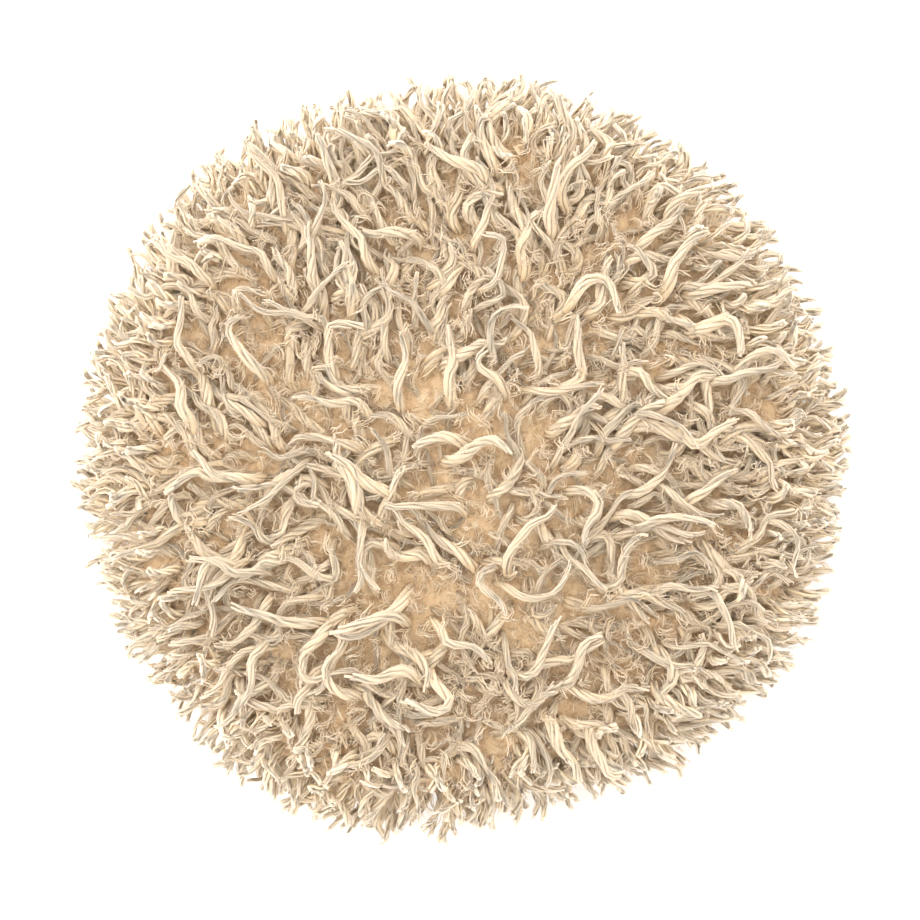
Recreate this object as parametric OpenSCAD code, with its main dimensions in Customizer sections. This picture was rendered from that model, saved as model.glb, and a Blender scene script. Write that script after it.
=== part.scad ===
// Wool pile polishing wheel: a tufted wool pad held by hook and loop on a
// moulded backing plate with a threaded steel hub.
// Z is the spindle axis and the pile faces up. The origin is on that axis, at
// the hub's rear face, which seats on the spindle's shoulder.

/* [Pile] */
// Distance that the yarn tips stand out past the edge of the pad
pile_reach = 21; // [17:0.5:26]
// Height of the yarn tips above the pad's cloth, at the centre
pile_h = 28; // [23:1:36]
// Radius of the rounded rim that the yarn tips make
rim_round = 26; // [22:1:28]
// Radius of the shallow dome that the yarn tips make
dome_r = 420; // [320:10:800]
// Angle that the lowest yarns hang below level
rim_droop = 15; // [5:1:25]
// Height of the short undercoat above the cloth, at the centre
undercoat_h = 10; // [7:0.5:14]
// Distance that the undercoat stands out past the edge of the pad
undercoat_reach = 7; // [5.5:0.5:9]

/* [Pad cloths] */
// Distance that the pad's cloths stand out past the backing plate
pad_overhang = 4.5; // [4:0.5:8]
// Thickness of the loop cloth
loop_t = 1.2; // [0.8:0.1:2]
// Thickness of the latex coat
latex_t = 1; // [0.6:0.1:1.6]
// Thickness of the cloth that holds the yarn
cloth_t = 1; // [0.6:0.1:1.6]
// Thickness of the edge binding tape
binding_t = 0.6; // [0.4:0.1:1]
// Distance that the binding reaches in from the edge
binding_w = 3; // [2:0.5:5]
// Thickness of the overlock thread
stitch_t = 0.5; // [0.3:0.1:0.8]
// Number of overlock stitches round the edge
stitches = 72; // [48:4:96]

/* [Backing plate] */
// Diameter of the foam face
plate_d = 149; // [124:1:180]
// Thickness of the foam in front of the support disc
foam_t = 12; // [9:0.5:18]
// Thickness of the foam wall round the support disc
foam_wall = 3; // [2:0.5:5]
// Thickness of the hook disc
hook_t = 1.5; // [1:0.1:2.5]
// Distance that the foam's face is wider than its back, on the radius
plate_taper = 4; // [0:0.5:6]
// Thickness of the support disc's web
disc_t = 4; // [3:0.5:6]
// Height of the ribs where they meet the hub
rib_h = 4; // [3:0.5:6]
// Thickness of a rib
rib_t = 2.5; // [1.5:0.5:4]
// Number of ribs
ribs = 12; // [6:6:24]
// Diameter of a hole in the support disc that the foam keys into
key_d = 9; // [5:1:11]

/* [Hub] */
// Diameter of the hub's boss
boss_d = 30; // [28:1:36]
// Height of the boss behind the flange
boss_h = 12; // [10:1:18]
// Distance across the spanner flats
flats_w = 24; // [22:1:26]
// Height of the spanner flats
flats_h = 8; // [6:1:10]
// Diameter of the flange
flange_d = 64; // [53:1:77]
// Thickness of the flange
flange_t = 3; // [2:0.5:4]
// Radius of the bore that takes the spindle thread
bore_r = 6; // [5:0.25:6.5]
// Thickness of the clamp ring
clamp_t = 2; // [1.5:0.5:3]

/* [Rivets] */
// Number of rivets
rivets_n = 6; // [4:1:8]
// Diameter of a rivet's shank
rivet_d = 5; // [4:0.5:6]
// Diameter of a rivet's head
rivet_head_d = 9; // [8:0.5:10]
// Height of a rivet's domed head
rivet_head_h = 2.5; // [2:0.5:3]

/* [Hidden] */
$fn = 96;
courses = 16;                  // rings of yarn, from the centre out
course_steps = 4;              // straight stretches along each course's tips
course_gap = 0.4;              // clear space between courses
root_clear = 0.2;              // clear space between yarn roots and undercoat
undercoat_dome_r = 700;
undercoat_round = 8;
undercoat_end = 120;           // where the undercoat's rim stops, from vertical
fit_clear = 0.1;               // round parts that are bonded or riveted
body_clear = 0.3;              // between the hooks and the loops
binding_clear = 0.05;          // between cloths, binding and stitches
edge_clear = 0.3;              // between the stitches and the undercoat
pocket_clear = 1;              // foam pocket round the clamp ring
hook_inset = 0.5;              // foam that shows round the hook disc
chamfer = 1;                   // edges of the steel hub
nose_floor = 3;                // foam left in front of the spindle's nose
foam_bevel = 1.5;
disc_rim_w = 3;
disc_rim_h = 2.5;
formed_head_h = 1.2;           // the rivets' formed ends, inside the foam

// Heights, from the hub's rear face up
flange_z = boss_h;
disc_z = flange_z + flange_t;
clamp_z = disc_z + disc_t;
foam_z = clamp_z;
hook_z = foam_z + foam_t;
loop_z = hook_z + hook_t + body_clear;
latex_z = loop_z + loop_t;
cloth_z = latex_z + latex_t;
pile_z = cloth_z + cloth_t;

// Diameters and radii that follow from what they fit
pad_d = plate_d + 2 * pad_overhang;
pile_d = pad_d + 2 * pile_reach;
foam_seat_r = plate_d / 2 - plate_taper - foam_wall;
disc_d = 2 * (foam_seat_r - fit_clear);
hole_r = boss_d / 2 - 3;       // centre hole of the disc and the clamp ring
clamp_r = flange_d / 2 - 2;
rivet_circle_r = (boss_d + flange_d) / 4;

course_names = [for (i = [1 : courses]) str("pile_course_", i < 10 ? "0" : "", i)];

// ---- Outlines of the pile -------------------------------------------------
// A dome that runs into a rounded rim, seen in section. Each is described by
// [rim centre's radius, rim centre's height, rim radius, top, dome radius,
// where the dome ends, where the rim ends], with both angles from vertical.
function outline(d, top, dome, rim, end) =
    let (rim_r = d / 2 - rim,
         join = asin(rim_r / (dome - rim)))
    [rim_r, top - dome + (dome - rim) * cos(join), rim, top, dome, join, end];

function dome_length(o) = o[4] * o[5] * PI / 180;
function rim_length(o) = o[2] * (o[6] - o[5]) * PI / 180;

// The point a fraction f of the way along an outline, from the axis outwards
function along(o, f) =
    let (s = f * (dome_length(o) + rim_length(o)),
         on_dome = s < dome_length(o),
         a = on_dome ? s / o[4] * 180 / PI : o[5] + (s - dome_length(o)) / o[2] * 180 / PI)
    on_dome ? [o[4] * sin(a), o[3] - o[4] + o[4] * cos(a)]
            : [o[0] + o[2] * sin(a), o[1] + o[2] * cos(a)];

tips = outline(pile_d, pile_z + pile_h, dome_r, rim_round, 90 + rim_droop);
roots = outline(pad_d + 2 * undercoat_reach, pile_z + undercoat_h,
                undercoat_dome_r, undercoat_round, undercoat_end);

// A point on the yarn that stands at fraction f: away is its distance from the
// undercoat, or -1 for the tip
function on_yarn(f, away) =
    let (root = along(roots, f), tip = along(tips, f), yarn = tip - root)
    away < 0 ? tip : root + yarn * away / norm(yarn);

// ---- Helpers --------------------------------------------------------------
module disc(d, t, z, hole_d = 0) {
    translate([0, 0, z])
        difference() {
            cylinder(d = d, h = t);
            if (hole_d > 0)
                translate([0, 0, -1]) cylinder(d = hole_d, h = t + 2);
        }
}

module at_rivets() {
    for (i = [0 : rivets_n - 1])
        rotate([0, 0, (i + 0.5) * 360 / rivets_n]) translate([rivet_circle_r, 0, 0]) children();
}

module rivet_holes(z, t) {
    at_rivets()
        translate([0, 0, z - 1]) cylinder(d = rivet_d, h = t + 2);
}

// ---- Backing plate --------------------------------------------------------
module threaded_hub() {
    color("lightsteelblue")
    difference() {
        rotate_extrude()
            polygon([
                [bore_r + chamfer, 0],
                [boss_d / 2 - chamfer, 0],
                [boss_d / 2, chamfer],
                [boss_d / 2, flange_z],
                [flange_d / 2 - chamfer / 2, flange_z],
                [flange_d / 2, flange_z + chamfer / 2],
                [flange_d / 2, disc_z],
                [hole_r - fit_clear, disc_z],
                [hole_r - fit_clear, clamp_z],
                [bore_r, clamp_z],
                [bore_r, chamfer]
            ]);
        for (side = [-1, 1])
            translate([-boss_d, side > 0 ? flats_w / 2 : -flats_w / 2 - boss_d, -1])
                cube([2 * boss_d, boss_d, flats_h + 1]);
        rivet_holes(flange_z, flange_t);
    }
}

module rivets() {
    shank_r = rivet_d / 2 - fit_clear / 2;
    front = clamp_z + clamp_t;
    dome_sphere_r = (pow(rivet_head_d / 2, 2) + pow(rivet_head_h, 2)) / (2 * rivet_head_h);
    color("silver")
    at_rivets() {
        // Domed head behind the flange
        intersection() {
            translate([0, 0, flange_z - rivet_head_h + dome_sphere_r]) sphere(r = dome_sphere_r);
            translate([0, 0, flange_z - rivet_head_h]) cylinder(d = rivet_head_d, h = rivet_head_h);
        }
        translate([0, 0, flange_z]) cylinder(r = shank_r, h = front - flange_z);
        // End formed over the clamp ring
        translate([0, 0, front])
            cylinder(d1 = rivet_head_d - 0.5, d2 = rivet_head_d - 2.5, h = formed_head_h);
    }
}

module rib() {
    inner = flange_d / 2 + fit_clear;
    outer = disc_d / 2 - disc_rim_w / 2;
    translate([0, rib_t / 2, 0])
        rotate([90, 0, 0])
            linear_extrude(height = rib_t)
                polygon([
                    [inner, disc_z - rib_h],
                    [inner, disc_z + disc_t / 2],
                    [outer, disc_z + disc_t / 2],
                    [outer, disc_z - disc_rim_h + 0.5]
                ]);
}

// Every other gap between the ribs
module at_keys() {
    for (i = [0 : ribs / 2 - 1])
        rotate([0, 0, (2 * i + 0.5) * 360 / ribs])
            translate([(flange_d + disc_d) / 4, 0, 0]) children();
}

module support_disc() {
    color("dimgray")
    difference() {
        union() {
            disc(disc_d, disc_t, disc_z);
            translate([0, 0, disc_z - disc_rim_h])
                difference() {
                    cylinder(d = disc_d, h = disc_rim_h + 0.5);
                    translate([0, 0, -1]) cylinder(d = disc_d - 2 * disc_rim_w, h = disc_rim_h + 2);
                }
            for (i = [0 : ribs - 1])
                rotate([0, 0, i * 360 / ribs]) rib();
        }
        translate([0, 0, disc_z - 1]) cylinder(r = hole_r, h = disc_t + 2);
        rivet_holes(disc_z, disc_t);
        at_keys()
            translate([0, 0, disc_z - 1]) cylinder(d = key_d, h = disc_t + 2);
    }
}

module clamp_ring() {
    color("lightgray")
    difference() {
        disc(2 * clamp_r, clamp_t, clamp_z, 2 * hole_r);
        rivet_holes(clamp_z, clamp_t);
    }
}

module cushion_foam() {
    face_r = plate_d / 2;
    back_r = foam_seat_r + foam_wall;
    pocket_r = clamp_r + pocket_clear;
    pocket_top = clamp_z + clamp_t + formed_head_h + pocket_clear;
    nose_top = hook_z - nose_floor;
    color("slategray") {
        rotate_extrude()
            polygon([
                [foam_seat_r, disc_z],
                [back_r - foam_bevel, disc_z],
                [back_r, disc_z + foam_bevel],
                [face_r, hook_z - foam_bevel],
                [face_r, hook_z],
                [0, hook_z],
                [0, nose_top],
                [hole_r, nose_top],
                [hole_r, pocket_top],
                [pocket_r, pocket_top],
                [pocket_r, foam_z],
                [foam_seat_r, foam_z]
            ]);
        // Pegs of foam in the support disc's holes
        at_keys()
            translate([0, 0, disc_z]) cylinder(d = key_d - 2 * fit_clear, h = disc_t + 0.5);
    }
}

module hook_disc() {
    color("black") disc(plate_d - 2 * hook_inset, hook_t, hook_z);
}

// ---- Wool pad -------------------------------------------------------------
module loop_cloth() {
    color("gainsboro") disc(pad_d, loop_t, loop_z);
}

module latex_coat() {
    color("khaki") disc(pad_d, latex_t, latex_z);
}

module primary_cloth() {
    color("wheat") disc(pad_d, cloth_t, cloth_z);
}

// Half of the edge's section, grown by t from the three cloths: a C that
// opens towards the axis
module edge_c(inner_grow, t, reach) {
    r = pad_d / 2 + inner_grow;
    low = loop_z - inner_grow;
    high = pile_z + inner_grow;
    polygon([
        [r - reach, low - t], [r + t, low - t], [r + t, high + t], [r - reach, high + t],
        [r - reach, high], [r, high], [r, low], [r - reach, low]
    ]);
}

module edge_binding() {
    color("burlywood") rotate_extrude() edge_c(binding_clear, binding_t, binding_w);
}

module edge_stitches() {
    stitch_w = 1.2 * stitch_t;
    color("ivory")
    for (i = [0 : stitches - 1])
        rotate([90, 0, i * 360 / stitches])
            translate([0, 0, -stitch_w / 2])
                linear_extrude(height = stitch_w)
                    edge_c(2 * binding_clear + binding_t, stitch_t, binding_w);
}

module undercoat() {
    steps = courses * course_steps;
    edge_grow = 2 * binding_clear + binding_t + stitch_t + edge_clear;
    step_in_r = pad_d / 2 - binding_w - edge_clear;
    skirt_r = pad_d / 2 + edge_grow;
    color("tan")
    rotate_extrude()
        polygon(concat(
            [for (k = [0 : steps]) along(roots, k / steps)],
            [[skirt_r, along(roots, 1)[1]],
             [skirt_r, pile_z + edge_grow],
             [step_in_r, pile_z + edge_grow],
             [step_in_r, pile_z],
             [0, pile_z]]));
}

// One ring of yarn, numbered from 1 at the centre
module pile_course(i) {
    start = (i - 1) / courses;
    gap = i < courses ? course_gap / (dome_length(tips) + rim_length(tips)) : 0;
    width = 1 / courses - gap;
    color(i % 2 == 0 ? "antiquewhite" : "oldlace")
    rotate_extrude()
        polygon(concat(
            [for (k = [0 : course_steps]) on_yarn(start + width * k / course_steps, -1)],
            [for (k = [course_steps : -1 : 0]) on_yarn(start + width * k / course_steps, root_clear)]));
}

threaded_hub();
rivets();
support_disc();
clamp_ring();
cushion_foam();
hook_disc();
loop_cloth();
latex_coat();
primary_cloth();
edge_binding();
edge_stitches();
undercoat();
for (i = [1 : courses])
    pile_course(i);
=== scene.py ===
"""Looks for a wool pile polishing wheel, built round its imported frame.

Everything is in metres, with Z along the spindle axis and the pile facing up. The backing plate
is the lower body and the wool pad is the upper one, which peels off along Z.
"""

import logging
import math
from dataclasses import dataclass, fields, replace
from enum import Enum
from functools import cache
from typing import Callable, Sequence, Union

import bmesh
import bpy
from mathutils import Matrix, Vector, noise


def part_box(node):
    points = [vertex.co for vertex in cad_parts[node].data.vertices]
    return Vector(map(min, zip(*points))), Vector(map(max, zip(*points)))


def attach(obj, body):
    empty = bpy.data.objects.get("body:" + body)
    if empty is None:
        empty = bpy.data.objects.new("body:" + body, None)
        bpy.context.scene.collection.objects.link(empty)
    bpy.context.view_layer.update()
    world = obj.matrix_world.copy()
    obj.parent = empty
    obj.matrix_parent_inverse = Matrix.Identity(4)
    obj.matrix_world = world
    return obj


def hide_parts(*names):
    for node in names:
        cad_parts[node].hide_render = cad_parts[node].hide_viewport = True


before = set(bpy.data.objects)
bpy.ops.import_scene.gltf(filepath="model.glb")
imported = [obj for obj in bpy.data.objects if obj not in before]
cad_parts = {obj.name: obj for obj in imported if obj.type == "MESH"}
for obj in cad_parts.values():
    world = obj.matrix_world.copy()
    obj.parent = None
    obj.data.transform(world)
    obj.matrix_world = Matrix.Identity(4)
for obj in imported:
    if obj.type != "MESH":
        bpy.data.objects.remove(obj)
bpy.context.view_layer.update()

logging.basicConfig(level=logging.INFO, format="%(levelname)s %(message)s")
LOG = logging.getLogger("wheel")

MM = 0.001
HAIR = 0.01 * MM  # too little to see
TURN = 2 * math.pi
Colour = tuple[float, float, float]
Point = tuple[float, float, float]


@cache
def box(node: str) -> tuple[Vector, Vector]:
    """Lowest and highest corner of a CAD node at rest, looked up once."""
    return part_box(node)


class Body(Enum):
    """The two CAD bodies that pieces ride on."""

    PLATE = "backing_plate"
    PAD = "wool_pad"


# ---- Node trees, written as expressions ----------------------------------------------------


class Wire:
    """An output socket that can be added, multiplied and so on with others."""

    def __init__(self, tree: "Tree", socket: bpy.types.NodeSocket) -> None:
        """Keeps the socket and the tree it belongs to."""
        self.tree = tree
        self.socket = socket

    @property
    def is_vector(self) -> bool:
        """True where the socket carries a vector."""
        return self.socket.type == "VECTOR"

    def __add__(self, other: "Value") -> "Wire":
        """Sum of the two."""
        return self.tree.calc("ADD", self, other)

    def __sub__(self, other: "Value") -> "Wire":
        """Difference of the two."""
        return self.tree.calc("SUBTRACT", self, other)

    def __rsub__(self, other: "Value") -> "Wire":
        """Difference of the two, the other way round."""
        return self.tree.calc("SUBTRACT", other, self)

    def __mul__(self, other: "Value") -> "Wire":
        """Product of the two."""
        return self.tree.calc("MULTIPLY", self, other)

    def __truediv__(self, other: "Value") -> "Wire":
        """Quotient of the two."""
        return self.tree.calc("DIVIDE", self, other)

    def __rtruediv__(self, other: "Value") -> "Wire":
        """Quotient of the two, the other way round."""
        return self.tree.calc("DIVIDE", other, self)

    __radd__ = __add__
    __rmul__ = __mul__


Value = Union[Wire, float, int, bool, str, tuple, bpy.types.Material]


class Step:
    """One node of a tree, whose outputs are read by name."""

    def __init__(self, tree: "Tree", node: bpy.types.Node) -> None:
        """Keeps the node and its tree."""
        self.tree = tree
        self.node = node

    def __getitem__(self, name: str) -> Wire:
        """The output of that name."""
        return next(
            Wire(self.tree, s) for s in self.node.outputs if s.enabled and s.name == name
        )


class Tree:
    """A node tree of any kind, built step by step."""

    def __init__(self, tree: bpy.types.NodeTree) -> None:
        """Starts with the node tree that the steps go into."""
        self.tree = tree
        self.source: Union[Step, None] = None

    def input(self, name: str, kind: str) -> Wire:
        """Adds a named input to the tree.

        Args:
            name: what the input is called.
            kind: the socket's kind, such as Float, Int, Vector, Geometry or Material.

        Returns:
            The wire that carries the input.
        """
        self.tree.interface.new_socket(name, in_out="INPUT", socket_type="NodeSocket" + kind)
        if self.source is None:
            self.source = self.add("NodeGroupInput")
        return self.source[name]

    def output(self, name: str, kind: str, wire: Wire) -> None:
        """Adds a named output to the tree and feeds it from a wire."""
        self.tree.interface.new_socket(name, in_out="OUTPUT", socket_type="NodeSocket" + kind)
        ends = [n for n in self.tree.nodes if n.type == "GROUP_OUTPUT"]
        end = ends[0] if ends else self.tree.nodes.new("NodeGroupOutput")
        self.tree.links.new(wire.socket, end.inputs[name])

    def feed(self, socket: bpy.types.NodeSocket, value: Value) -> None:
        """Links a wire to a socket, or sets the socket's own value."""
        if isinstance(value, Wire):
            self.tree.links.new(value.socket, socket)
        elif socket.type == "RGBA" and len(value) == 3:
            socket.default_value = (*value, 1)
        else:
            socket.default_value = value

    def add(
        self, kind: str, settings: Union[dict, None] = None, inputs: Union[dict, None] = None
    ) -> Step:
        """Adds a node.

        Args:
            kind: the node's type.
            settings: its own properties.
            inputs: what feeds its inputs, by socket name or by place.

        Returns:
            The new node.
        """
        node = self.tree.nodes.new(kind)
        for name, value in (settings or {}).items():
            setattr(node, name, value)
        shown = [s for s in node.inputs if s.enabled]
        for name, value in (inputs or {}).items():
            at = name if isinstance(name, int) else [s.name for s in shown].index(name)
            self.feed(shown[at], value)
        return Step(self, node)

    def calc(self, operation: str, *values: Value) -> Wire:
        """Math on numbers or vectors, told apart by what comes in.

        Args:
            operation: the name of the math node's operation.
            values: what it works on.

        Returns:
            The result.
        """
        vectors = [isinstance(v, tuple) or (isinstance(v, Wire) and v.is_vector) for v in values]
        if not any(vectors):
            return self.add("ShaderNodeMath", {"operation": operation}, dict(enumerate(values)))["Value"]
        if all(vectors):
            node = self.add("ShaderNodeVectorMath", {"operation": operation}, dict(enumerate(values)))
            return next(Wire(self, s) for s in node.node.outputs if s.enabled)
        vector, number = values if vectors[0] else reversed(values)
        if operation == "DIVIDE":
            number = self.calc("DIVIDE", 1.0, number)
        node = self.add("ShaderNodeVectorMath", {"operation": "SCALE"}, {"Vector": vector, "Scale": number})
        return node["Vector"]

    def sin(self, angle: Wire) -> Wire:
        """Sine of an angle in radians."""
        return self.calc("SINE", angle)

    def cos(self, angle: Wire) -> Wire:
        """Cosine of an angle in radians."""
        return self.calc("COSINE", angle)

    def unit(self, vector: Wire) -> Wire:
        """The vector at length 1."""
        return self.add("ShaderNodeVectorMath", {"operation": "NORMALIZE"}, {0: vector})["Vector"]

    def away(self, x: Wire, y: Wire) -> Wire:
        """The length of a step of x and y."""
        return self.calc("POWER", x * x + y * y, 0.5)

    def vector(self, x: Value, y: Value, z: Value) -> Wire:
        """A vector from three numbers."""
        return self.add("ShaderNodeCombineXYZ", {}, {"X": x, "Y": y, "Z": z})["Vector"]

    def split(self, vector: Wire) -> tuple[Wire, Wire, Wire]:
        """The three numbers of a vector."""
        parts = self.add("ShaderNodeSeparateXYZ", {}, {"Vector": vector})
        return parts["X"], parts["Y"], parts["Z"]

    def ramp(self, value: Wire, start: Value, end: Value, low: Value = 0.0, high: Value = 1.0) -> Wire:
        """A smooth step from low to high as the value goes from start to end."""
        return self.add(
            "ShaderNodeMapRange",
            {"interpolation_type": "SMOOTHSTEP"},
            {"Value": value, "From Min": start, "From Max": end, "To Min": low, "To Max": high},
        )["Result"]

    def mix(self, share: Wire, first: float, second: float) -> Wire:
        """A number between first and second."""
        return share * (second - first) + first

    def blend(self, share: Value, first: Value, second: Value, how: str = "MIX") -> Wire:
        """A colour between first and second."""
        return self.add(
            "ShaderNodeMix",
            {"data_type": "RGBA", "blend_type": how},
            {"Factor": share, "A": first, "B": second},
        )["Result"]

    def noise(self, place: Wire, scale: Value, detail: float = 2.0, rough: float = 0.5) -> Wire:
        """Smooth noise from 0 to 1, read at a place."""
        return self.add(
            "ShaderNodeTexNoise", {}, {"Vector": place, "Scale": scale, "Detail": detail, "Roughness": rough}
        )["Fac"]

    def stray(self, place: Wire, scale: Value) -> Wire:
        """A smooth random vector, up to a half each way, read at a place."""
        grain = self.add("ShaderNodeTexNoise", {}, {"Vector": place, "Scale": scale, "Detail": 1.0})
        return self.add(
            "ShaderNodeVectorMath", {"operation": "SUBTRACT"}, {0: grain["Color"], 1: (0.5, 0.5, 0.5)}
        )["Vector"]

    # Geometry only

    def random(self, draw: "Draw", key: Wire) -> Wire:
        """The draw's random number, one for each key."""
        seed, low, high = draw.value
        return self.add(
            "FunctionNodeRandomValue", {}, {"Min": low, "Max": high, "ID": key, "Seed": seed}
        )["Value"]

    def place(self) -> Wire:
        """Each point's position."""
        return self.add("GeometryNodeInputPosition")["Position"]

    def read(self, name: str, kind: str) -> Wire:
        """A stored attribute."""
        return self.add("GeometryNodeInputNamedAttribute", {"data_type": kind}, {"Name": name})["Attribute"]

    def store(self, geometry: Wire, name: str, value: Value, kind: str, domain: str = "POINT") -> Wire:
        """Stores an attribute on a geometry, and returns the geometry."""
        return self.add(
            "GeometryNodeStoreNamedAttribute",
            {"data_type": kind, "domain": domain},
            {"Geometry": geometry, "Name": name, "Value": value},
        )["Geometry"]

    def circle(self, sides: Value, radius: Value) -> Wire:
        """A ring to carry along a curve."""
        return self.add(
            "GeometryNodeCurvePrimitiveCircle", {"mode": "RADIUS"}, {"Resolution": sides, "Radius": radius}
        )["Curve"]

    def finish(self, parts: Sequence[Wire], material: Value) -> None:
        """Joins the parts, dresses them and makes them the tree's result."""
        joined = self.add("GeometryNodeJoinGeometry")
        for part in parts:
            self.tree.links.new(part.socket, joined.node.inputs[0])
        smooth = self.add("GeometryNodeSetShadeSmooth", {}, {"Geometry": joined["Geometry"]})
        real = self.add("GeometryNodeRealizeInstances", {}, {"Geometry": smooth["Geometry"]})
        dressed = self.add(
            "GeometryNodeSetMaterial", {}, {"Geometry": real["Geometry"], "Material": material}
        )
        self.output("Result", "Geometry", dressed["Geometry"])


def geometry_tree(name: str) -> Tree:
    """A new, empty Geometry Nodes tree."""
    return Tree(bpy.data.node_groups.new(name, "GeometryNodeTree"))


def grown(
    name: str, tree: Tree, settings: dict[str, Value], start: Union[bpy.types.Mesh, None] = None
) -> bpy.types.Object:
    """Runs a Geometry Nodes tree and keeps its result as a plain mesh.

    Args:
        name: the new piece's name.
        tree: the tree to run.
        settings: values for the tree's named inputs.
        start: the mesh that the tree starts from, where it needs one.

    Returns:
        The piece, with no modifier left on it.
    """
    seedling = bpy.data.objects.new(name + "_seedling", start or bpy.data.meshes.new(name + "_seedling"))
    bpy.context.scene.collection.objects.link(seedling)
    modifier = seedling.modifiers.new("grow", "NODES")
    modifier.node_group = tree.tree
    sockets = {s.name: s.identifier for s in tree.tree.interface.items_tree if s.in_out == "INPUT"}
    for key, value in settings.items():
        modifier[sockets[key]] = value
    seedling.update_tag()
    graph = bpy.context.evaluated_depsgraph_get()
    mesh = bpy.data.meshes.new_from_object(seedling.evaluated_get(graph))
    bpy.data.objects.remove(seedling)
    for helper in ("lock", "lift", "along", "around", "shade"):
        if helper in mesh.attributes:
            mesh.attributes.remove(mesh.attributes[helper])
    mesh.name = name
    return placed(name, mesh)


def placed(name: str, mesh: bpy.types.Mesh) -> bpy.types.Object:
    """Links a mesh into the scene as an object of that name."""
    piece = bpy.data.objects.new(name, mesh)
    bpy.context.scene.collection.objects.link(piece)
    return piece


def dressed(mesh: bpy.types.Mesh, material: bpy.types.Material, sharp: float) -> bpy.types.Object:
    """Marks the edges that are sharper than an angle in degrees, and dresses and links the mesh."""
    mesh.set_sharp_from_angle(angle=math.radians(sharp))
    mesh.materials.append(material)
    return placed(mesh.name, mesh)


def keep(piece: bpy.types.Object, body: Body, slot: str, *nodes: str) -> bpy.types.Object:
    """Hands a finished piece to the frame.

    Args:
        piece: the piece.
        body: the CAD body that it rides on.
        slot: the record's material slot; not used.
        nodes: the CAD nodes that it stands for.

    Returns:
        The same piece.
    """
    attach(piece, body.value)
    if nodes:
        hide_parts(*nodes)
    LOG.info("%s: %d faces on %s", piece.name, len(piece.data.polygons), body.value)
    return piece


# ---- Meshes of revolution ------------------------------------------------------------------

Shape = Callable[[float, float, float], Point]
ON_AXIS = 1e-7  # a corner with less than this radius is a pole


def round_point(angle: float, radius: float, height: float) -> Point:
    """A point on a plain round piece."""
    return (radius * math.cos(angle), radius * math.sin(angle), height)


def turned(
    name: str, section: Sequence[tuple[float, float]], steps: int, closed: bool = True,
    shape: Shape = round_point,
) -> bpy.types.Mesh:
    """A mesh turned round the spindle axis.

    Args:
        name: the mesh's name.
        section: (radius, height) of each corner, anticlockwise as seen with the axis at the left.
        steps: how many stretches there are round the axis.
        closed: whether the section's last corner joins its first.
        shape: gives the point for an angle, a radius and a height.

    Returns:
        The mesh, with its faces outwards.
    """
    form = bmesh.new()
    rings = []
    for radius, height in section:
        if radius < ON_AXIS:
            rings.append([form.verts.new(shape(0.0, 0.0, height))])
        else:
            rings.append([form.verts.new(shape(TURN * k / steps, radius, height)) for k in range(steps)])
    pairs = list(zip(rings, rings[1:])) + ([(rings[-1], rings[0])] if closed else [])
    for one, two in pairs:
        for k in range(steps):
            after = (k + 1) % steps
            if len(one) == 1 and len(two) == 1:
                continue
            if len(one) == 1:
                corners = [one[0], two[after], two[k]]
            elif len(two) == 1:
                corners = [one[k], one[after], two[0]]
            else:
                corners = [one[k], one[after], two[after], two[k]]
            form.faces.new(corners)
    if closed:
        bmesh.ops.recalc_face_normals(form, faces=form.faces)
    mesh = bpy.data.meshes.new(name)
    form.to_mesh(mesh)
    form.free()
    mesh.shade_smooth()
    return mesh


def filled(section: Sequence[tuple[float, float]], stretch: float) -> list[tuple[float, float]]:
    """The closed section with extra corners, so that no stretch is longer than asked."""
    points = []
    for (r0, z0), (r1, z1) in zip(section, [*section[1:], section[0]]):
        count = max(1, round(math.hypot(r1 - r0, z1 - z0) / stretch))
        points += [(r0 + (r1 - r0) * k / count, z0 + (z1 - z0) * k / count) for k in range(count)]
    return points


# ---- The pile's outlines -------------------------------------------------------------------


@dataclass(frozen=True)
class Outline:
    """A dome that runs into a rounded rim, in section.

    Attributes:
        outside: radius of the whole.
        top: height on the axis.
        dome: radius of the dome's curve.
        rim: radius of the rim's curve.
        end: where the rim ends, in degrees from straight up.
    """

    outside: float
    top: float
    dome: float
    rim: float
    end: float

    @property
    def rim_centre(self) -> tuple[float, float]:
        """Radius and height of the rim's centre."""
        radius = self.outside - self.rim
        return radius, self.top - self.dome + (self.dome - self.rim) * math.cos(self.join)

    @property
    def join(self) -> float:
        """Angle where the dome runs into the rim, in radians."""
        return math.asin((self.outside - self.rim) / (self.dome - self.rim))

    @property
    def length(self) -> float:
        """Length of the section from the axis to where the rim ends."""
        return self.dome * self.join + self.rim * (math.radians(self.end) - self.join)

    def at(self, share: float) -> tuple[float, float]:
        """Radius and height a share of the way from the axis to the end."""
        along = share * self.length
        if along < self.dome * self.join:
            angle = along / self.dome
            return self.dome * math.sin(angle), self.top - self.dome * (1 - math.cos(angle))
        angle = self.join + (along - self.dome * self.join) / self.rim
        radius, height = self.rim_centre
        return radius + self.rim * math.sin(angle), height + self.rim * math.cos(angle)


@dataclass(frozen=True)
class Swell:
    """A place round the rim where the pad's outline stands out or falls in.

    Attributes:
        angle: where its middle is, in degrees from +X.
        depth: how far it stands out, in metres.
        width: how far it goes to each side, in degrees.
    """

    angle: float
    depth: float
    width: float


# The pad is cut by hand, so its outline isn't a true circle.
SWELL_FROM, SWELL_OVER = 40 * MM, 45 * MM  # where they begin, and how far on they are whole
SWELLS = (
    Swell(246, 3.4 * MM, 13),
    Swell(287, -5.2 * MM, 14),
    Swell(334, 2.8 * MM, 13),
    Swell(104, -2.0 * MM, 16),
    Swell(132, 1.6 * MM, 12),
    Swell(4, 1.2 * MM, 14),
)


def swell_at(angle: float) -> float:
    """How far the outline stands out at an angle in radians."""
    total = 0.0
    for swell in SWELLS:
        away = (math.degrees(angle) - swell.angle + 180) % 360 - 180
        total += swell.depth * math.exp(-((away / swell.width) ** 2))
    return total


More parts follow.
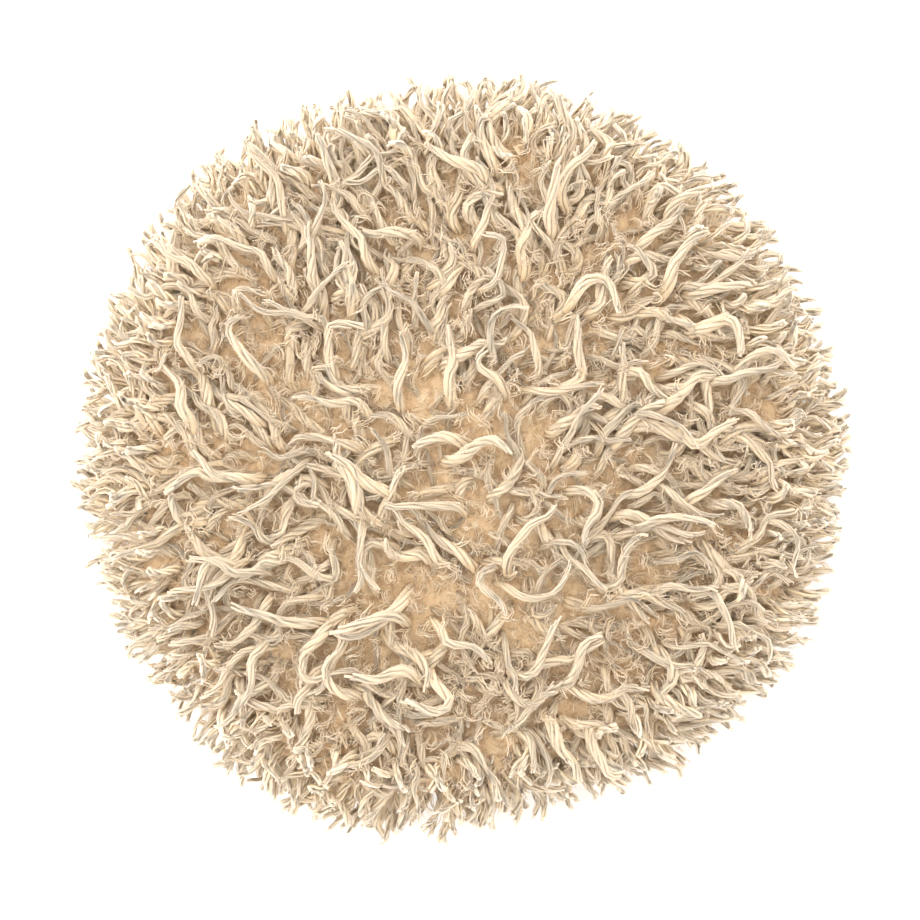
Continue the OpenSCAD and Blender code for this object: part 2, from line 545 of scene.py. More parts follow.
def uneven_point(angle: float, radius: float, height: float) -> Point:
    """A point on the pile's root surface, which follows the swells near the rim."""
    near = min(1.0, max(0.0, (radius - SWELL_FROM) / SWELL_OVER))
    return round_point(angle, radius + near * near * swell_at(angle), height)


def root_band(roots: Outline, first: float, last: float, rows: int, steps: int) -> bpy.types.Mesh:
    """A strip of the pile's root surface.

    Args:
        roots: the root surface's outline.
        first: where the strip starts, as a share of the outline.
        last: where it ends.
        rows: how many rows of faces it has.
        steps: how many faces a row has.

    Returns:
        The strip, with its faces outwards.
    """
    section = [roots.at(first + (last - first) * k / rows) for k in range(rows + 1)]
    return turned("band", section[::-1], steps, False, uneven_point)


# ---- Pile ----------------------------------------------------------------------------------


class Draw(Enum):
    """The random numbers that make locks differ: each one's seed, lowest and highest value."""

    YAW = (1, -1.0, 1.0)
    YAW_SHARE = (2, 0.2, 1.0)
    TANGLE = (3, -1.0, 1.0)
    PHASE = (4, 0.0, TURN)
    SWAY = (5, 0.35, 1.0)
    CURL_TURNS = (6, 0.6, 1.3)
    CURL_DRIFT = (7, -0.9, 0.9)
    BEND_OVER = (8, 0.5, 1.5)
    LAY = (9, 0.86, 1.1)
    LENGTH = (10, -1.0, 1.0)
    PLY_TRIM = (11, 0.86, 1.0)
    FIBRE_TRIM = (11, 0.55, 1.0)
    LOCK_SHADE = (12, 0.0, 1.0)
    STRAND_SHADE = (13, 0.0, 0.4)
    TWIST = (14, 0.6, 1.4)
    FIRST_ANGLE = (15, 0.0, TURN)
    GIRTH = (16, 0.6, 1.4)
    SPLAY = (17, 0.0, 1.0)
    PLY = (18, 0.75, 1.2)
    KINK_PACE = (19, 10.0, 19.0)
    KINK = (20, 0.2, 1.0)
    FIBRE_ANGLE = (21, 0.0, TURN)
    FIBRE_TURN = (22, -4.0, 4.0)
    FIBRE_REACH = (23, 0.2, 1.0)
    ELBOW_AT = (24, 0.3, 0.75)
    ELBOW = (25, -1.0, 1.0)


@dataclass(frozen=True)
class Lock:
    """How one kind of lock grows. Lengths are in metres and angles in radians.

    Attributes:
        seed: the seed for the scatter of roots.
        steps: points along a lock.
        plies: strands in a lock, of which one is its core.
        spacing: least distance between two roots.
        length: length of a lock, on average.
        length_spread: share by which the length varies.
        rise: angle from the surface's normal at the root.
        lay: that angle once the lock has bent over.
        bend_over: share of the length over which it bends.
        yaw_spread: how far a lock turns from the combed way.
        swirl: how far neighbours turn together.
        tangle: how far a lock turns in the tangled places.
        curl: how far it curls to each side.
        curl_turns: how many curls it has.
        kink: how far its small kinks turn it.
        elbow: how far one sharp bend turns it.
        sink: how deep its root lies under the surface.
        bundle: distance of the plies from the middle.
        ply: radius of a ply.
        tip: share of the radius that is left at the tip.
        twist: turns that the plies make round the core.
        splay: how far the plies part at the tip.
        wobble: how far a strand strays at random.
        sides: sides of a ply.
        fibres: loose fibres round a lock.
        fibre: radius of a fibre.
        fibre_spread: how far the fibres stand off.
        thinning: share of the locks that the thin spots lose.
    """

    seed: int
    steps: int
    plies: int
    spacing: float
    length: float
    length_spread: float
    rise: float
    lay: float
    bend_over: float
    yaw_spread: float
    curl: float
    curl_turns: float
    ply: float
    tip: float
    sides: int = 3
    fibres: int = 0
    thinning: float = 0.0
    swirl: float = 0.0
    tangle: float = 0.0
    kink: float = 0.0
    elbow: float = 0.0
    sink: float = 0.0
    bundle: float = 0.0
    twist: float = 0.0
    splay: float = 0.0
    wobble: float = 0.0
    fibre: float = 0.0
    fibre_spread: float = 0.0

    def settings(self, material: bpy.types.Material) -> dict[str, Value]:
        """The values of the pile tree's inputs, by name."""
        return {**{input_name(field): value for field, value in vars(self).items()}, "Material": material}


def input_name(field: str) -> str:
    """What the pile's tree calls the input for a field of Lock."""
    return field.replace("_", " ").title()


class PileTree:
    """The Geometry Nodes tree that every lock of wool grows from.

    Roots are scattered over a band of the root surface. Each lock rises from its root, bends over
    the way the pile is combed and carries on with curls. It is a bundle of plies that twist round
    each other and splay at the tip, with loose fibres round them.
    """

    # The roots
    THIN_SPOTS = ((-47 * MM, 14 * MM), (-20 * MM, -32 * MM), (37 * MM, -53 * MM))  # x and y
    THIN_REACH = 14 * MM
    THIN_CORE = 0.4  # share of the reach that is thinned fully
    CROWDING = 1.6  # roots tried for each square of the spacing
    LOCKS_PER_SEED = 1000

    # The way the pile is combed
    CALM_CENTRE = (-6.5 * MM, -13.9 * MM)  # it is combed outwards from here
    COMB_TO_SIDE = (-25 * MM, 45 * MM, 1.0, 0.6)  # x from and to, and y's share at each
    COMB_DOWN = -0.4
    RIM_NORMAL = (0.75, 0.1)  # upward share of the normal where the rim starts and where it ends
    RIM_LAY = 0.42  # share of the lay that the rim takes away
    TANGLES = ((-6 * MM, -66 * MM, 60 * MM), (-6.5 * MM, -13.9 * MM, 36 * MM))  # x, y and reach
    TANGLE_CORE = 0.35  # share of the reach that is tangled fully
    SWIRL_SCALE = 22.0  # swirls per metre

    # A lock's path
    KINK_PHASE = 3.1
    ELBOW_LENGTH = 0.14  # share of the length that an elbow takes
    WAVES = 7.0  # radians of the up-and-down wave along a lock
    WAVE_PHASE = 1.7
    WAVE = 0.16  # height of the wave, in radians
    WAVE_FROM = (0.15, 0.5)

    # Its strands
    STRANDS_PER_LOCK = 31  # more than any lock has, so that keys differ
    BELLY = (0.0, 0.25, 0.7, 1.0)  # the bundle opens from the root
    CLOSING = (0.55, 1.0, 1.0, 0.45)  # and closes to the tip
    SPLAY_FROM = 0.72
    CORE, OUTER = 1.35, 0.35  # the core's share of a ply, and what the others lack of it
    ROOT_TAPER = (0.0, 0.25, 0.6, 1.0)
    TIP_FROM = 0.45
    FIBRE_POINTS, FIBRE_SIDES = 8, 3
    FIBRE_STRAY = 2.5  # how much more than a ply a fibre wobbles
    FIBRE_TAPER = (0.7, 1.0, 1.0, 0.4)
    STRAY_SCALE = 160.0
    STRAY_KEYS = (0.0137, 0.0071)  # how far apart two strands read the noise, in metres

    # Their map: across it the lock's shade and the way round, along it root to tip
    LOCK_SHADE = 0.6
    SHADE_WIDE, ROUND_WIDE, MAP_EDGE = 0.94, 0.04, 0.01

    def __init__(self) -> None:
        """Builds the tree once."""
        self.tree = geometry_tree("pile_locks")
        self.build()

    def build(self) -> None:
        """Adds the inputs, the scatter, the paths and the plies."""
        t = self.tree
        band = t.input("Band", "Geometry")
        names = {input_name(field.name): field.type for field in fields(Lock)}
        size = {name: t.input(name, "Int" if kind is int else "Float") for name, kind in names.items()}
        material = t.input("Material", "Material")
        points = self.scatter(band, size)
        curves = self.paths(points, size)
        t.finish([self.plies(curves, size), self.fibres(curves, size)], material)

    def scatter(self, band: Wire, size: dict[str, Wire]) -> Wire:
        """Scatters the roots over the band.

        Args:
            band: the root surface's band.
            size: the tree's inputs.

        Returns:
            Points that carry their lock's number and the surface's normal.
        """
        t = self.tree
        x, y, _ = t.split(t.place())
        cover = 1.0
        for spot_x, spot_y in self.THIN_SPOTS:
            away = t.away(x - spot_x, y - spot_y)
            cover = t.ramp(away, self.THIN_REACH * self.THIN_CORE, self.THIN_REACH) * cover
        cover = 1.0 - size["Thinning"] * (1.0 - cover)
        roots = t.add(
            "GeometryNodeDistributePointsOnFaces",
            {"distribute_method": "POISSON"},
            {
                "Mesh": band,
                "Distance Min": size["Spacing"],
                "Density Max": self.CROWDING / (size["Spacing"] * size["Spacing"]),
                "Density Factor": cover,
                "Seed": size["Seed"],
            },
        )
        number = t.add("GeometryNodeInputIndex")["Index"] + size["Seed"] * self.LOCKS_PER_SEED
        points = t.store(roots["Points"], "lock", number, "INT")
        return t.store(points, "lift", roots["Normal"], "FLOAT_VECTOR")

    def paths(self, points: Wire, size: dict[str, Wire]) -> Wire:
        """Gives each lock its centre line.

        Args:
            points: the roots.
            size: the tree's inputs.

        Returns:
            One curve for each lock.
        """
        t = self.tree
        steps = size["Steps"]
        lock, lift = t.read("lock", "INT"), t.read("lift", "FLOAT_VECTOR")
        copies = t.add(
            "GeometryNodeDuplicateElements", {"domain": "POINT"}, {"Geometry": points, "Amount": steps}
        )
        order = copies["Duplicate Index"]
        along = order / (steps - 1.0)
        root = t.place()
        x, y, _ = t.split(root)
        _, _, up = t.split(lift)

        # The way the pile is combed, kept in the surface
        squeeze = t.ramp(x, *self.COMB_TO_SIDE)
        out = t.unit(t.vector(x - self.CALM_CENTRE[0], (y - self.CALM_CENTRE[1]) * squeeze, 0.0))
        out = out + (0.0, 0.0, self.COMB_DOWN)
        combed = t.unit(out - lift * t.calc("DOT_PRODUCT", out, lift))
        aside = t.calc("CROSS_PRODUCT", lift, combed)
        rim = t.ramp(up, *self.RIM_NORMAL)

        tangle = 0.0
        for tangle_x, tangle_y, reach in self.TANGLES:
            away = t.away(x - tangle_x, y - tangle_y)
            tangle = t.ramp(away, reach * self.TANGLE_CORE, reach, 1.0, 0.0) + tangle
        drift = t.noise(root, self.SWIRL_SCALE, 1.0) * 2.0 - 1.0
        yaw = (
            t.random(Draw.YAW, lock) * t.random(Draw.YAW_SHARE, lock) * size["Yaw Spread"]
            + drift * size["Swirl"]
            + t.random(Draw.TANGLE, lock) * tangle * size["Tangle"]
        )
        phase = t.random(Draw.PHASE, lock)
        sway = t.random(Draw.SWAY, lock) * size["Curl"]
        turns = t.random(Draw.CURL_TURNS, lock) * size["Curl Turns"]
        curl = sway * t.sin(along * turns * TURN + phase)
        curl = curl + t.random(Draw.CURL_DRIFT, lock) * size["Curl"] * along
        kink = t.sin(along * t.random(Draw.KINK_PACE, lock) + phase * self.KINK_PHASE)
        kink = kink * t.random(Draw.KINK, lock)
        bent_at = t.random(Draw.ELBOW_AT, lock)
        elbow = t.ramp(along, bent_at, bent_at + self.ELBOW_LENGTH) * t.random(Draw.ELBOW, lock)
        yaw = yaw + curl + kink * size["Kink"] + elbow * size["Elbow"]

        bend_over = t.random(Draw.BEND_OVER, lock) * size["Bend Over"]
        lay = size["Lay"] * t.random(Draw.LAY, lock) * (1.0 - rim * self.RIM_LAY)
        bend = t.ramp(along, 0.0, bend_over)
        pitch = size["Rise"] + (lay - size["Rise"]) * bend
        wave = t.sin(along * self.WAVES + phase * self.WAVE_PHASE) * self.WAVE
        pitch = pitch + wave * t.ramp(along, *self.WAVE_FROM)
        heading = combed * t.cos(yaw) + aside * t.sin(yaw)
        way = lift * t.cos(pitch) + heading * t.sin(pitch)

        length = size["Length"] * (1.0 + size["Length Spread"] * t.random(Draw.LENGTH, lock))
        stride = way * (length / (steps - 1.0))
        walked = t.add(
            "GeometryNodeAccumulateField",
            {"data_type": "FLOAT_VECTOR", "domain": "POINT"},
            {"Value": stride, "Group ID": lock},
        )["Trailing"]
        walked_points = t.add(
            "GeometryNodeSetPosition",
            {},
            {"Geometry": copies["Geometry"], "Offset": walked - lift * size["Sink"]},
        )["Geometry"]
        return t.add(
            "GeometryNodePointsToCurves",
            {},
            {"Points": walked_points, "Curve Group ID": lock, "Weight": order},
        )["Curves"]

    def strands(self, curves: Wire, amount: Wire, trim: Draw) -> tuple[Wire, Wire, Wire, Wire]:
        """Copies each lock's line and trims the copies to uneven lengths.

        Args:
            curves: the centre lines.
            amount: how many copies each gets.
            trim: the share of the length that a copy keeps.

        Returns:
            The copies, each one's place in its lock, a key for random values, and its lock.
        """
        t = self.tree
        copies = t.add(
            "GeometryNodeDuplicateElements", {"domain": "SPLINE"}, {"Geometry": curves, "Amount": amount}
        )
        strand = copies["Duplicate Index"]
        lock = t.read("lock", "INT")
        key = lock * self.STRANDS_PER_LOCK + strand
        trimmed = t.add(
            "GeometryNodeTrimCurve",
            {"mode": "FACTOR"},
            {"Curve": copies["Geometry"], "Start": 0.0, "End": t.random(trim, key)},
        )["Curve"]
        return trimmed, strand, key, lock

    def tube(self, curves: Wire, sides: Value, radius: Wire, key: Wire, lock: Wire) -> Wire:
        """Gives curves their thickness, with a map along and round each.

        Args:
            curves: the curves.
            sides: how many sides the tube has.
            radius: its radius, which may change along the curve.
            key: the key for the strand's random values.
            lock: the number of the lock it belongs to.

        Returns:
            The mesh.
        """
        t = self.tree
        along = t.add("GeometryNodeSplineParameter")["Factor"]
        curves = t.store(curves, "along", along, "FLOAT")
        tone = t.random(Draw.LOCK_SHADE, lock) * self.LOCK_SHADE + t.random(Draw.STRAND_SHADE, key)
        curves = t.store(curves, "shade", tone, "FLOAT")
        around = t.add("GeometryNodeInputIndex")["Index"] / (sides * 1.0)
        profile = t.store(t.circle(sides, 1.0), "around", around, "FLOAT")
        mesh = t.add(
            "GeometryNodeCurveToMesh",
            {},
            {"Curve": curves, "Profile Curve": profile, "Scale": radius, "Fill Caps": True},
        )["Mesh"]
        shade, round_it = t.read("shade", "FLOAT"), t.read("around", "FLOAT")
        run = t.read("along", "FLOAT")
        across = shade * self.SHADE_WIDE + round_it * self.ROUND_WIDE + self.MAP_EDGE
        at = t.vector(across, run * (1 - 2 * self.MAP_EDGE) + self.MAP_EDGE, 0.0)
        return t.store(mesh, "OFBake", at, "FLOAT2", "CORNER")

    def plies(self, curves: Wire, size: dict[str, Wire]) -> Wire:
        """Twists plies round each lock's line.

        Args:
            curves: the centre lines.
            size: the tree's inputs.

        Returns:
            The plies' mesh.
        """
        t = self.tree
        trimmed, ply, key, lock = self.strands(curves, size["Plies"], Draw.PLY_TRIM)
        along = t.add("GeometryNodeSplineParameter")["Factor"]
        angle = (
            ply * TURN / t.calc("MAXIMUM", size["Plies"] - 1.0, 1.0)
            + along * TURN * size["Twist"] * t.random(Draw.TWIST, lock)
            + t.random(Draw.FIRST_ANGLE, lock)
        )
        belly = t.ramp(along, *self.BELLY) * t.ramp(along, *self.CLOSING)
        girth = t.random(Draw.GIRTH, lock)
        off_centre = t.calc("MINIMUM", ply, 1.0)
        reach = off_centre * belly * girth * size["Bundle"]
        reach = reach + t.ramp(along, self.SPLAY_FROM, 1.0) * t.random(Draw.SPLAY, key) * size["Splay"]
        moved = self.moved_aside(trimmed, angle, reach, key, size["Wobble"])
        core = self.CORE - off_centre * self.OUTER
        radius = (
            size["Ply"] * girth * t.random(Draw.PLY, key) * core
            * t.ramp(along, *self.ROOT_TAPER) * t.ramp(along, self.TIP_FROM, 1.0, 1.0, size["Tip"])
        )
        return self.tube(moved, size["Sides"], radius, key, lock)

    def fibres(self, curves: Wire, size: dict[str, Wire]) -> Wire:
        """Lets loose fibres stand off each lock.

        Args:
            curves: the centre lines.
            size: the tree's inputs.

        Returns:
            The fibres' mesh.
        """
        t = self.tree
        coarse = t.add(
            "GeometryNodeResampleCurve", {"mode": "COUNT"}, {"Curve": curves, "Count": self.FIBRE_POINTS}
        )
        trimmed, _, key, lock = self.strands(coarse["Curve"], size["Fibres"], Draw.FIBRE_TRIM)
        along = t.add("GeometryNodeSplineParameter")["Factor"]
        angle = t.random(Draw.FIBRE_ANGLE, key) + along * t.random(Draw.FIBRE_TURN, key)
        reach = size["Bundle"] + along * along * t.random(Draw.FIBRE_REACH, key) * size["Fibre Spread"]
        moved = self.moved_aside(trimmed, angle, reach, key, size["Wobble"] * self.FIBRE_STRAY)
        radius = size["Fibre"] * t.ramp(along, *self.FIBRE_TAPER)
        return self.tube(moved, self.FIBRE_SIDES, radius, key, lock)

    def moved_aside(self, curves: Wire, angle: Wire, reach: Wire, key: Wire, wobble: Wire) -> Wire:
        """Moves strands off their lock's centre line.

        Args:
            curves: the strands.
            angle: which way each goes, round the line.
            reach: how far it goes.
            key: the key for its random values.
            wobble: how far it strays at random.

        Returns:
            The moved strands.
        """
        t = self.tree
        side = t.add("GeometryNodeInputNormal")["Normal"]
        ahead = t.add("GeometryNodeInputTangent")["Tangent"]
        other = t.calc("CROSS_PRODUCT", ahead, side)
        apart = t.vector(key * self.STRAY_KEYS[0], key * self.STRAY_KEYS[1], 0.0)
        stray = t.stray(t.place() + apart, self.STRAY_SCALE)
        offset = side * (t.cos(angle) * reach) + other * (t.sin(angle) * reach) + stray * (wobble * 2.0)
        return t.add("GeometryNodeSetPosition", {}, {"Geometry": curves, "Offset": offset})["Geometry"]


# ---- Shared shader groups ------------------------------------------------------------------


def shader_group(name: str) -> Tree:
    """A new, empty shader node group."""
    return Tree(bpy.data.node_groups.new(name, "ShaderNodeTree"))


class Groups:
    """Effects that several materials share, each built once."""

    def __init__(self) -> None:
        """Builds the groups."""
        self.fibre = self.fibre_group()
        self.tone = self.tone_group()
        self.weave = self.weave_group()
        self.turning = self.turning_group()

    @staticmethod
    def fibre_group() -> Tree:
        """Streaks that run along a lock, read from its map."""
        t = shader_group("fibre_streaks")
        at = t.input("Map", "Vector")
        fineness = t.input("Fineness", "Float")
        x, y, _ = t.split(at)
        stretched = t.vector(x * fineness, y * 3.0, 0.0)
        fine = t.noise(stretched, scale=5.0, detail=3.0, rough=0.6)
        broad = t.noise(t.vector(x * fineness, y * 1.2, 3.7), scale=1.7, detail=2.0)
        t.output("Height", "Float", fine)
        t.output("Tone", "Float", fine * 0.5 + broad * 0.5)
        return t

    @staticmethod
    def tone_group() -> Tree:
        """Uneven colour over a surface."""
        t = shader_group("uneven_tone")
        place = t.input("Place", "Vector")
        scale = t.input("Scale", "Float")
        first = t.input("First", "Color")
        second = t.input("Second", "Color")
        mask = t.ramp(t.noise(place, scale, 3.0, 0.6), 0.3, 0.7)
        t.output("Colour", "Color", t.blend(mask, first, second))
        t.output("Mask", "Float", mask)
        return t

    @staticmethod
    def weave_group() -> Tree:
        """Plain weave of crossing threads."""
        t = shader_group("plain_weave")
        place = t.input("Place", "Vector")
        pitch = t.input("Thread Pitch", "Float")
        x, y, _ = t.split(place)
        across = t.sin(x * TURN / pitch * 0.5)
        down = t.sin(y * TURN / pitch * 0.5)
        over = t.calc("ABSOLUTE", across) * t.calc("ABSOLUTE", down)
        check = across * down * 0.5 + 0.5
        t.output("Height", "Float", t.calc("POWER", over, 0.5) * 0.7 + check * 0.3)
        t.output("Thread", "Float", t.ramp(over, 0.02, 0.35))
        return t

    @staticmethod
    def turning_group() -> Tree:
        """Fine rings left by turning, with a few smudges."""
        t = shader_group("turning_marks")
        place = t.input("Place", "Vector")
        x, y, z = t.split(place)
        out = t.away(x, y)
        rings = t.noise(t.vector(out, z, 0.0), scale=2600.0, detail=2.0)
        smudge = t.noise(place, scale=90.0, detail=3.0, rough=0.65)
        t.output("Height", "Float", rings)
        t.output("Smudge", "Float", t.ramp(smudge, 0.35, 0.7))
        return t


# ---- Finishes ------------------------------------------------------------------------------


class Dressing:
    """A material being written: its tree, its shader and the places it reads."""

    def __init__(self, name: str, **constants: Value) -> None:
        """Starts a material whose shader has these constant values.

        Args:
            name: the material's name.
            constants: socket names, with _ for a space, and their values.
        """
        self.material = bpy.data.materials.new(name)
        self.material.use_nodes = True
        nodes = self.material.node_tree
        nodes.nodes.clear()
        self.tree = Tree(nodes)
        self.shader = self.tree.add("ShaderNodeBsdfPrincipled").node
        out = self.tree.add("ShaderNodeOutputMaterial").node
        nodes.links.new(self.shader.outputs[0], out.inputs["Surface"])
        for key, value in constants.items():
            self.tree.feed(self.shader.inputs[key.replace("_", " ")], value)

    def place(self) -> Wire:
        """Object coordinates."""
        return self.tree.add("ShaderNodeTexCoord")["Object"]

    def map(self) -> Wire:
        """The piece's own map."""
        return self.tree.add("ShaderNodeUVMap", {"uv_map": "OFBake"})["UV"]

    def group(self, group: Tree, inputs: dict[str, Value]) -> Step:
        """Places a shared group in this material."""
        step = self.tree.add("ShaderNodeGroup", {"node_tree": group.tree})
        for key, value in inputs.items():
            self.tree.feed(step.node.inputs[key], value)
        return step

    def toned(self, groups: Groups, place: Wire, first: Colour, second: Colour, scale: float) -> Step:
        """Places the group for uneven colour between two, in patches of a scale per metre."""
        return self.group(groups.tone, {"Place": place, "Scale": scale, "First": first, "Second": second})

    def colour(self, wire: Wire) -> None:
        """Feeds the base colour."""
        self.tree.feed(self.shader.inputs["Base Color"], wire)

    def rough(self, wire: Wire) -> None:
        """Feeds the roughness."""
        self.tree.feed(self.shader.inputs["Roughness"], wire)

    def bump(self, height: Wire, depth: float, strength: float = 1.0) -> None:
        """Feeds the normal from a height.

        Args:
            height: from 0 to 1.
            depth: how deep 1 is, in metres.
            strength: the bump's share.
        """
        bump = self.tree.add(
            "ShaderNodeBump", {}, {"Strength": strength, "Distance": depth, "Height": height}
        )
        self.tree.feed(self.shader.inputs["Normal"], bump["Normal"])


@dataclass(frozen=True)
class WoolFinish:
    """Wool whose colour goes from root to tip along each lock, its root partly stained and partly painted
    shade.
    """

    ROOT_TO_BODY, BODY_TO_TIP = (0.0, 0.45), (0.6, 1.0)  # where along a lock its colour changes, out of the root's stain and painted shade
    SHADES = 23.0  # how unlike each other two locks of nearly the same shade are
    UNEVEN = 0.22  # how far the locks differ in tone
    SHEEN_TINT = (1.0, 0.9, 0.76)
    name: str
    # darker and tanner than the body: partly real staining, partly painted shade where the locks shade their
    # own roots
    root: Colour
    body: Colour
    tip: Colour
    sheen: float = 0.2
    fineness: float = 70.0
    streak: float = 0.16
    soft: float = 0.75
    soft_depth: float = 1.9 * MM
    depth: float = 0.18 * MM

    def make(self, groups: Groups) -> bpy.types.Material:
        """Builds the material.

        Args:
            groups: the shared shader groups.

        Returns:
            The material.
        """
        d = Dressing(
            self.name, Sheen_Weight=self.sheen, Sheen_Roughness=0.55, Sheen_Tint=self.SHEEN_TINT,
            Specular_IOR_Level=0.15, Subsurface_Weight=self.soft, Subsurface_Radius=(1.0, 1.0, 1.0),
            Subsurface_Scale=self.soft_depth,
        )
        t = d.tree
        at = d.map()
        shade, along, _ = t.split(at)
        streaks = d.group(groups.fibre, {"Map": at, "Fineness": self.fineness})
        # painted shade and stain at the root, fading into the body's colour
        colour = t.blend(t.ramp(along, *self.ROOT_TO_BODY), self.root, self.body)
        colour = t.blend(t.ramp(along, *self.BODY_TO_TIP), colour, self.tip)
        lock_tone = t.noise(t.vector(shade * self.SHADES, 0.0, 0.0), scale=1.0, detail=1.0)
        tone = (lock_tone - 0.5) * self.UNEVEN + (streaks["Tone"] - 0.5) * self.streak * 2.0 + 1.0
        tint = t.vector(tone, tone * 0.985 + 0.01, tone * 0.96 + 0.02)  # the darker, the browner
        d.colour(t.blend(1.0, colour, tint, "MULTIPLY"))
        d.rough(t.mix(streaks["Tone"], 0.8, 0.98))
        d.bump(streaks["Height"], self.depth)
        return d.material


@dataclass(frozen=True)
class FleeceFinish:
    """The felted base between the locks, with painted shade in its pits."""

    name: str
    high: Colour
    low: Colour
    # colour of the painted shade in the pits
    pit: Colour

    def make(self, groups: Groups) -> bpy.types.Material:
        """Builds the material from the shared groups."""
        d = Dressing(self.name, Sheen_Weight=0.3, Sheen_Roughness=0.6, Specular_IOR_Level=0.1)
        t = d.tree
        place = d.place()
        toned = d.toned(groups, place, self.low, self.high, scale=170.0)
        # painted shade: the pits are darkened in colour, as if in shadow
        pit_shade_mask = t.ramp(t.noise(place, scale=420.0, detail=3.0, rough=0.6), 0.56, 0.34)
        d.colour(t.blend(pit_shade_mask * 0.8, toned["Colour"], self.pit))
        d.rough(t.mix(toned["Mask"], 0.98, 0.88))
        d.bump(t.noise(place, scale=900.0, detail=4.0, rough=0.7), depth=1.2 * MM)
        return d.material


@dataclass(frozen=True)
class MetalFinish:
    """Turned and plated steel."""

    name: str
    bright: Colour
    dull: Colour
    smooth: float = 0.24
    worn: float = 0.46

    def make(self, groups: Groups) -> bpy.types.Material:
        """Builds the material from the shared groups."""
        d = Dressing(self.name, Metallic=1.0)
        t = d.tree
        marks = d.group(groups.turning, {"Place": d.place()})
        d.colour(t.blend(marks["Smudge"], self.bright, self.dull))
        d.rough(t.mix(marks["Smudge"], self.smooth, self.worn))
        d.bump(marks["Height"], depth=0.02 * MM, strength=0.5)
        return d.material


@dataclass(frozen=True)
class PlasticFinish:
    """Moulded plastic with glass fibre in it, which gives a fine pale fleck."""

    PALE, HAZE = 1.5, 0.004  # how much paler than its base the plastic is in places
    name: str
    base: Colour
    fleck: Colour

    def make(self, groups: Groups) -> bpy.types.Material:
        """Builds the material from the shared groups."""
        d = Dressing(self.name, Specular_IOR_Level=0.45)
        t = d.tree
        place = d.place()
        flow = t.noise(place, scale=3200.0, detail=2.0)
        paler = tuple(c * self.PALE + self.HAZE for c in self.base)
        toned = d.toned(groups, place, self.base, paler, scale=60.0)
        d.colour(t.blend(t.ramp(flow, 0.66, 0.74), toned["Colour"], self.fleck))
        d.rough(t.mix(toned["Mask"], 0.42, 0.58))
        d.bump(t.noise(place, scale=1500.0, detail=3.0), depth=0.04 * MM, strength=0.6)
        return d.material


@dataclass(frozen=True)
class FoamFinish:
    """Moulded foam: a skin with small open cells, darkened inside by painted shade."""

    CELLS = 900.0  # per metre
    WORN = 1.35  # how much paler than the skin the worn places are
    name: str
    skin: Colour
    # colour of the painted shade inside the open cells
    cell: Colour

    def make(self, groups: Groups) -> bpy.types.Material:
        """Builds the material from the shared groups."""
        d = Dressing(self.name, Sheen_Weight=0.12, Sheen_Roughness=0.5, Specular_IOR_Level=0.25)
        t = d.tree
        place = d.place()
        cells = t.add(
            "ShaderNodeTexVoronoi", {"feature": "F1"}, {"Vector": place, "Scale": self.CELLS}
        )["Distance"]
        toned = d.toned(groups, place, self.skin, tuple(c * self.WORN for c in self.skin), scale=120.0)
        # painted shade: the sunken cells are darkened in colour
        open_cell_shade = t.ramp(cells, 0.34, 0.16)
        d.colour(t.blend(open_cell_shade, toned["Colour"], self.cell))
        d.rough(t.mix(toned["Mask"], 0.8, 0.95))
        d.bump(t.ramp(cells, 0.1, 0.5), depth=0.25 * MM)
        return d.material


@dataclass(frozen=True)
class ClothFinish:
    """Woven or knitted cloth, with painted shade in the gaps between its threads."""

    SOILED = 0.86  # how much darker than the thread the soiled places are
    name: str
    thread: Colour
    # colour of the painted shade between the threads
    gap: Colour
    pitch: float
    depth: float = 0.2 * MM
    sheen: float = 0.25

    def make(self, groups: Groups) -> bpy.types.Material:
        """Builds the material from the shared groups."""
        d = Dressing(self.name, Sheen_Weight=self.sheen, Sheen_Roughness=0.5, Specular_IOR_Level=0.2)
        t = d.tree
        place = d.place()
        weave = d.group(groups.weave, {"Place": place, "Thread Pitch": self.pitch})
        toned = d.toned(groups, place, self.thread, tuple(c * self.SOILED for c in self.thread), scale=140.0)
        # painted shade: the gaps between threads are darkened in colour
        d.colour(t.blend(weave["Thread"], self.gap, toned["Colour"]))
        d.rough(t.mix(toned["Mask"], 0.82, 0.95))
        d.bump(weave["Height"], self.depth)
        return d.material


@dataclass(frozen=True)
class RubberFinish:
    """Brushed-on latex with tiny bubbles and thin places."""

    name: str
    thick: Colour
    thin: Colour

    def make(self, groups: Groups) -> bpy.types.Material:
        """Builds the material from the shared groups."""
        d = Dressing(self.name, Specular_IOR_Level=0.4)
        t = d.tree
        place = d.place()
        toned = d.toned(groups, place, self.thick, self.thin, scale=75.0)
        d.colour(toned["Colour"])
        d.rough(t.mix(toned["Mask"], 0.38, 0.6))
        d.bump(t.noise(place, scale=700.0, detail=3.0), depth=0.12 * MM)
        return d.material


